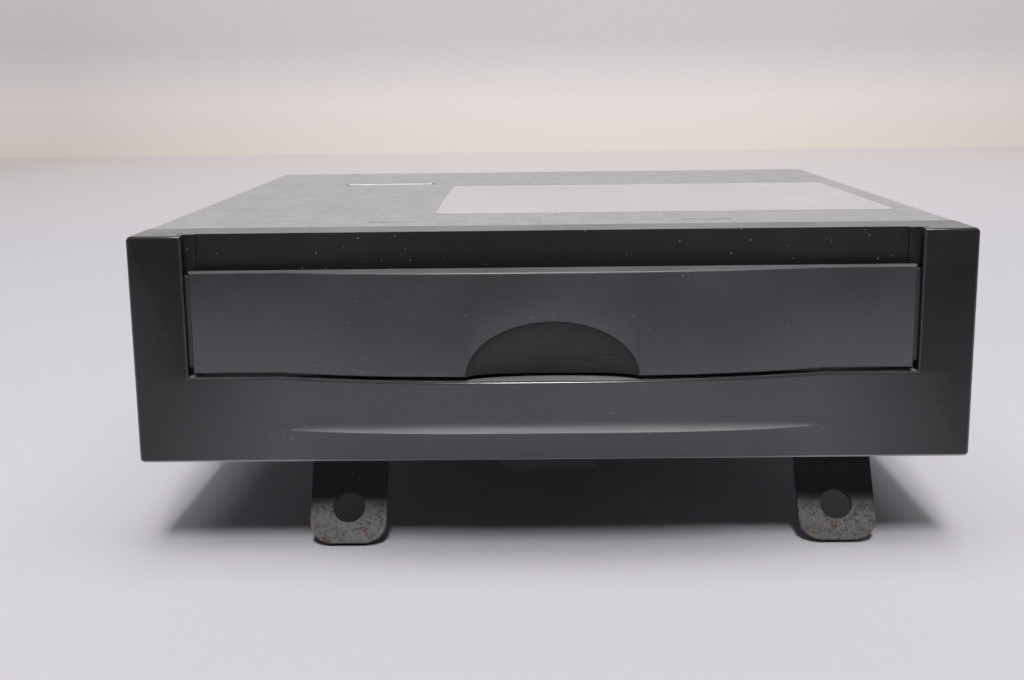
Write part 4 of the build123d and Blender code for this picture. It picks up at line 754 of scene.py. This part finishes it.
label = {"low": (-27.0, 40.5, 49.01), "high": (82.0, 123.0, 49.11), "radius": 2.0}


def makeLabel():
    shape = bmesh.new()
    outline = roundedOutline(label["low"], label["high"], label["radius"], 6)
    heights = (label["low"][2], label["high"][2])
    skin(shape, [[shape.verts.new(at(x, y, z)) for x, y in outline] for z in heights])
    return shape


newPiece("blank_label", makeLabel(), "label_paper")
print("label laid")


# Screws: pan heads with a cross recess and a threaded shank, where the CAD screws are

screw = {
    "headRadius": 2.8, "headHeight": 1.6, "dome": 0.55, "domeTurns": (0.35, 0.7, 1.05, 1.4),
    "domeSink": 0.02, "domeSquash": 0.98,
    "shankRadius": 1.4, "pitch": 0.5, "threadDepth": 0.22, "valley": 0.3, "ridge": 0.62, "sides": 40,
    "crossArm": 1.45, "crossWidth": 0.62, "crossDepth": 1.15, "crossTaper": 0.45, "crossTurn": (0.7, 3.1),
}
cadHead = {"wide": 0.97, "above": 0.2}  # found by these shares of the head's radius and of the length


def lathe(shape, profile, sides):  # profile of (radius, height) from the top centre to the bottom centre
    rings = []
    for radius, height in profile:
        if radius == 0.0:
            rings.append([shape.verts.new((0.0, 0.0, height))])
        else:
            angles = [2 * math.pi * k / sides for k in range(sides)]
            rings.append([shape.verts.new((radius * math.cos(a), radius * math.sin(a), height)) for a in angles])
    for first, second in zip(rings, rings[1:]):
        for k in range(sides):
            j = (k + 1) % sides
            corners = [first[k % len(first)], second[k % len(second)], second[j % len(second)], first[j % len(first)]]
            face = [v for i, v in enumerate(corners) if v not in corners[:i]]
            if len(face) > 2:
                shape.faces.new(face)


def islands(mesh):  # vertex groups of a CAD node's separate solids
    shape = bmesh.new()
    shape.from_mesh(mesh)
    bmesh.ops.remove_doubles(shape, verts=shape.verts, dist=1e-7)
    seen, found = set(), []
    for start in shape.verts:
        if start in seen:
            continue
        seen.add(start)
        pile, group = [start], []
        while pile:
            vertex = pile.pop()
            group.append(vertex.co.copy())
            for edge in vertex.link_edges:
                other = edge.other_vert(vertex)
                if other not in seen:
                    seen.add(other)
                    pile.append(other)
        found.append(group)
    shape.free()
    return found


def spanOf(points):  # their lowest and their highest corner
    return [Vector([pick(p[i] for p in points) for i in range(3)]) for pick in (min, max)]


def makeScrew(length):  # head upward, its underside at zero height
    radius, height, shank = (screw[key] * mm for key in ("headRadius", "headHeight", "shankRadius"))
    pitch, root = screw["pitch"] * mm, shank - screw["threadDepth"] * mm
    bend, squash = height * screw["dome"], screw["domeSquash"]
    flat = radius - bend
    profile = [(0.0, height), (flat, height - screw["domeSink"] * mm)]
    turns = screw["domeTurns"]
    profile += [(flat + bend * math.sin(a), height - bend + bend * math.cos(a) * squash) for a in turns]
    profile += [(radius, height - bend), (radius, 0.0), (shank, 0.0)]
    for turn in range(int((length - screw["headHeight"]) / screw["pitch"])):
        profile += [(root, -(turn + screw["valley"]) * pitch), (shank, -(turn + screw["ridge"]) * pitch)]
    low = -(length * mm - height)
    profile += [(root, low), (0.0, low)]
    shape = bmesh.new()
    lathe(shape, profile, screw["sides"])
    bmesh.ops.recalc_face_normals(shape, faces=shape.faces)
    cross = bmesh.new()
    arm, half, deep = screw["crossArm"] * mm, screw["crossWidth"] * mm / 2, screw["crossDepth"] * mm
    for longWay, wide, narrow in ((0, arm, half), (1, half, arm)):
        made = addBox(cross, Vector((-wide, -narrow, height - deep)), Vector((wide, narrow, height + mm)))
        for vertex in made:
            if vertex.co.z < height:
                vertex.co[longWay] *= screw["crossTaper"]
    return carve(shape, cross)


def dressScrews(nodeName):
    axis = 1 if nodeName == "cover_screws" else 2
    others = [i for i in range(3) if i != axis]
    wide = screw["headRadius"] * mm * cadHead["wide"]
    whole = bmesh.new()
    for group in islands(nodes[nodeName].data):
        low, high = spanOf(group)
        size, middle = high - low, (low + high) / 2
        head = [p for p in group if math.hypot(*[p[i] - middle[i] for i in others]) > wide]
        headHigh = any(p[axis] > middle[axis] + size[axis] * cadHead["above"] for p in head)
        direction = Vector([float(i == axis) for i in range(3)]) * (1 if headHigh else -1)
        made = makeScrew(size[axis] / mm)
        step, limit = screw["crossTurn"]
        turn = direction.to_track_quat("Z", "Y").to_matrix() @ Matrix.Rotation(step * len(whole.verts) % limit, 3, "Z")
        place = middle.copy()
        place[axis] = (high if headHigh else low)[axis] - direction[axis] * screw["headHeight"] * mm
        bmesh.ops.transform(made, matrix=Matrix.Translation(place) @ turn.to_4x4(), verts=made.verts)
        mesh = bpy.data.meshes.new("screwShape")
        made.to_mesh(mesh)
        made.free()
        whole.from_mesh(mesh)
        bpy.data.meshes.remove(mesh)
    piece = newPiece(nodeName.replace("_screws", "_cross_screws"), whole, "screw_steel", smoothAngle=40.0)
    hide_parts(nodeName)


for name in ("cover_screws", "foot_screws", "board_screws", "damper_screws"):
    dressScrews(name)
print("screws dressed")


# Contacts: square pins with tapered tips, and the aerial socket's metal lining

contact = {"taper": 0.8, "tip": 0.45}
aerial = {"depth": 7.6, "outer": 2.59, "inner": 2.3, "lip": 0.3, "lipShape": (0.4, 0.6), "sides": 40}


def dressPins():
    whole = bmesh.new()
    for group in islands(nodes["connector_pins"].data):
        low, high = spanOf(group)
        middle = (low + high) / 2
        rings = []
        for y, share in ((low.y, 1.0), (high.y - contact["taper"] * mm, 1.0), (high.y, contact["tip"])):
            half = (high.x - low.x) / 2 * share
            corners = [(-half, -half), (half, -half), (half, half), (-half, half)]
            rings.append([whole.verts.new((middle.x + x, y, middle.z + z)) for x, z in corners])
        skin(whole, rings)
    bmesh.ops.recalc_face_normals(whole, faces=whole.faces)
    piece = newPiece("tapered_pins", whole, "contact_metal", smoothAngle=0.0)
    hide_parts("connector_pins")


dressPins()


def makeAerialLining():  # thin metal sleeve inside the aerial socket's bore
    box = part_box("antenna_jack")
    low, high = Vector(box[0]), Vector(box[1])
    centreX, centreZ = (low.x + high.x) / 2, high.z - (high.x - low.x) / 2
    outer, inner, lip = (aerial[key] * mm for key in ("outer", "inner", "lip"))
    mouth, bottom = high.y - lip, high.y - aerial["depth"] * mm
    inward, outward = aerial["lipShape"]
    rounding = (outer - lip * inward, mouth + lip * outward)
    outline = [(outer, bottom), (outer, mouth), rounding, (inner, mouth), (inner, bottom)]
    shape = bmesh.new()
    rings = []
    for k in range(aerial["sides"]):
        a = 2 * math.pi * k / aerial["sides"]
        rings.append([shape.verts.new((centreX + r * math.cos(a), y, centreZ + r * math.sin(a))) for r, y in outline])
    for k, ring in enumerate(rings):
        after = rings[(k + 1) % len(rings)]
        for i in range(len(outline)):
            j = (i + 1) % len(outline)
            shape.faces.new((ring[i], ring[j], after[j], after[i]))
    bmesh.ops.recalc_face_normals(shape, faces=shape.faces)
    return shape


newPiece("aerial_lining", makeAerialLining(), "contact_metal", smoothAngle=40.0)
print("contacts dressed")


# Stage, light and camera, in metres

stage = {
    "nearY": -2.2, "wallY": 1.53, "wallHeight": 1.6, "half": 3.5, "filletRadius": 0.03,
    "floorColour": (0.672, 0.652, 0.693), "floorRough": 0.75, "floorSpecular": 0.2,
    "mottleColour": (0.5, 0.48, 0.5), "mottleScale": 9.0, "mottleDetail": 4.0, "mottle": (0.3, 0.7, 0.0, 0.05),
    "tableEdge": (-0.31, -0.41), "beyondTable": (0.03, 0.03, 0.033),
    "wallLow": (0.765, 0.685, 0.64), "wallMiddle": (0.775, 0.71, 0.69), "wallHigh": (0.595, 0.57, 0.595),
    "lowUp": (0.0, 0.06), "bandUp": (0.072, 0.152), "wallStart": (0.0, 0.002),
    "farNear": (0.66, 0.64, 0.685), "farFloor": (0.70, 0.64, 0.635), "farFade": (0.4, 1.3), "farShare": (0.14, 0.55),
    "fadeMiddle": 0.10, "fadeHalf": 0.75, "sideFade": (0.05, 0.2, 0.25, 0.15),
}


def makeStage():
    shape = bmesh.new()
    radius, wallY = stage["filletRadius"], stage["wallY"]
    profile = [(stage["nearY"], 0.0), (wallY - radius, 0.0)]
    profile += [(wallY - radius + radius * math.sin(a), radius - radius * math.cos(a)) for a in quarter[1:]]
    profile += [(wallY, stage["wallHeight"])]
    left, right = [[shape.verts.new((x, y, z)) for y, z in profile] for x in (-stage["half"], stage["half"])]
    for corners in zip(left, right, right[1:], left[1:]):
        shape.faces.new(corners)
    mesh = bpy.data.meshes.new("studio_sweep")
    shape.to_mesh(mesh)
    shape.free()
    sweep = addObject("studio_sweep", mesh)
    mesh.shade_smooth()

    material = bpy.data.materials.new("studio_paper")
    material.use_nodes = True
    tree = material.node_tree
    shader = tree.nodes["Principled BSDF"]
    place = put(tree, "ShaderNodeTexCoord").outputs["Object"]
    x, y, z = axes(tree, place)
    mottle = ramp(tree, noise(tree, place, stage["mottleScale"], stage["mottleDetail"]), *stage["mottle"])
    floor = blendColour(tree, mottle, opaque(stage["floorColour"]), opaque(stage["mottleColour"]))
    # Off the table's near edge the room is dark; only what the object mirrors of it shows that.
    direct = put(tree, "ShaderNodeLightPath").outputs["Is Camera Ray"]
    hidden = times(tree, ramp(tree, y, *stage["tableEdge"]), calc(tree, "SUBTRACT", 1.0, direct))
    floor = blendColour(tree, hidden, floor, opaque(stage["beyondTable"]))
    tree.links.new(floor, shader.inputs["Base Color"])
    shader.inputs["Roughness"].default_value = stage["floorRough"]
    shader.inputs["Specular IOR Level"].default_value = stage["floorSpecular"]

    # The far floor and the wall glow with the tones of the photo's background, darker towards the sides.
    wall = blendColour(tree, ramp(tree, z, *stage["lowUp"]), opaque(stage["wallLow"]), opaque(stage["wallMiddle"]))
    wall = blendColour(tree, ramp(tree, z, *stage["bandUp"]), wall, opaque(stage["wallHigh"]))
    far = blendColour(tree, ramp(tree, y, *stage["farFade"]), opaque(stage["farNear"]), opaque(stage["farFloor"]))
    glowing = blendColour(tree, ramp(tree, z, *stage["wallStart"]), far, wall)
    across = calc(tree, "DIVIDE", calc(tree, "SUBTRACT", x, stage["fadeMiddle"]), stage["fadeHalf"])
    sideways = calc(tree, "MULTIPLY", across, across, clamp=True)
    fade = times(tree, sideways, ramp(tree, z, *stage["sideFade"]))
    glowing = blendColour(tree, fade, glowing, (0.0, 0.0, 0.0, 1.0))
    glow = put(tree, "ShaderNodeEmission", {"Color": glowing, "Strength": 1.0}).outputs[0]
    farShare = ramp(tree, y, *stage["farShare"])
    both = put(tree, "ShaderNodeMixShader", {0: farShare, 1: shader.outputs[0], 2: glow}).outputs[0]
    tree.links.new(both, tree.nodes["Material Output"].inputs["Surface"])
    mesh.materials.append(material)


makeStage()

lampColour = (1.0, 0.99, 1.0)
ceiling = {"place": (0.1, -0.37, 3.6), "aim": (0.1, -0.37, 0.0), "mirrored": False}
lamps = {  # power in watts
    "frontSoftbox": {
        "place": (0.0, -2.027, 2.89), "aim": (0.0, -0.098, 0.03), "size": (0.5, 0.97), "power": 60.5, "mirrored": True,
    },
    "topSoftbox": {**ceiling, "size": (0.8, 2.85), "power": 38.0},
    "ceilingGlow": {**ceiling, "size": (5.2, 2.85), "power": 64.0},
}

for name, lamp in lamps.items():
    light = bpy.data.lights.new(name, "AREA")
    light.shape = "RECTANGLE"
    light.size, light.size_y = lamp["size"]
    light.energy = lamp["power"]
    light.color = lampColour
    holder = addObject(name, light)
    holder.location = lamp["place"]
    ray = Vector(lamp["aim"]) - Vector(lamp["place"])
    holder.rotation_euler = ray.to_track_quat("-Z", "Y").to_euler()
    holder.visible_glossy = lamp["mirrored"]

air = {
    "above": (0.015, 0.015, 0.016), "below": (0.03, 0.03, 0.033), "level": (-0.05, 0.05), "seen": (0.60, 0.575, 0.60),
}


def makeAir():
    world = bpy.data.worlds.new("studio_air")
    world.use_nodes = True
    tree = world.node_tree
    height = axes(tree, put(tree, "ShaderNodeTexCoord").outputs["Generated"])[2]
    colour = blendColour(tree, ramp(tree, height, *air["level"]), opaque(air["below"]), opaque(air["above"]))
    direct = put(tree, "ShaderNodeLightPath").outputs["Is Camera Ray"]
    colour = blendColour(tree, direct, colour, opaque(air["seen"]))
    tree.links.new(colour, tree.nodes["Background"].inputs["Color"])
    tree.nodes["Background"].inputs["Strength"].default_value = 1.0
    bpy.context.scene.world = world


makeAir()

shot = {  # metres, degrees, millimetres
    "place": (-0.00452, -0.36585, 0.1014), "down": 11.11, "turn": -0.81, "roll": -0.71,
    "lens": 46.74, "sensor": 36.0, "clip": (0.01, 20.0),
}


def makeCamera():
    down, turn, roll = (math.radians(shot[key]) for key in ("down", "turn", "roll"))
    ahead = Vector((math.sin(turn) * math.cos(down), math.cos(turn) * math.cos(down), -math.sin(down)))
    level = Vector((math.cos(turn), -math.sin(turn), 0.0))
    upright = level.cross(ahead)
    right = math.cos(roll) * level + math.sin(roll) * upright
    up = -math.sin(roll) * level + math.cos(roll) * upright
    data = bpy.data.cameras.new("shot")
    data.lens, data.sensor_width = shot["lens"], shot["sensor"]
    data.clip_start, data.clip_end = shot["clip"]
    camera = addObject("shot", data)
    matrix = Matrix((right, up, -ahead)).transposed().to_4x4()
    matrix.translation = Vector(shot["place"])
    camera.matrix_world = matrix
    bpy.context.scene.camera = camera


makeCamera()
bpy.context.scene.view_settings.view_transform = "Standard"
print("stage, lamps and camera set")
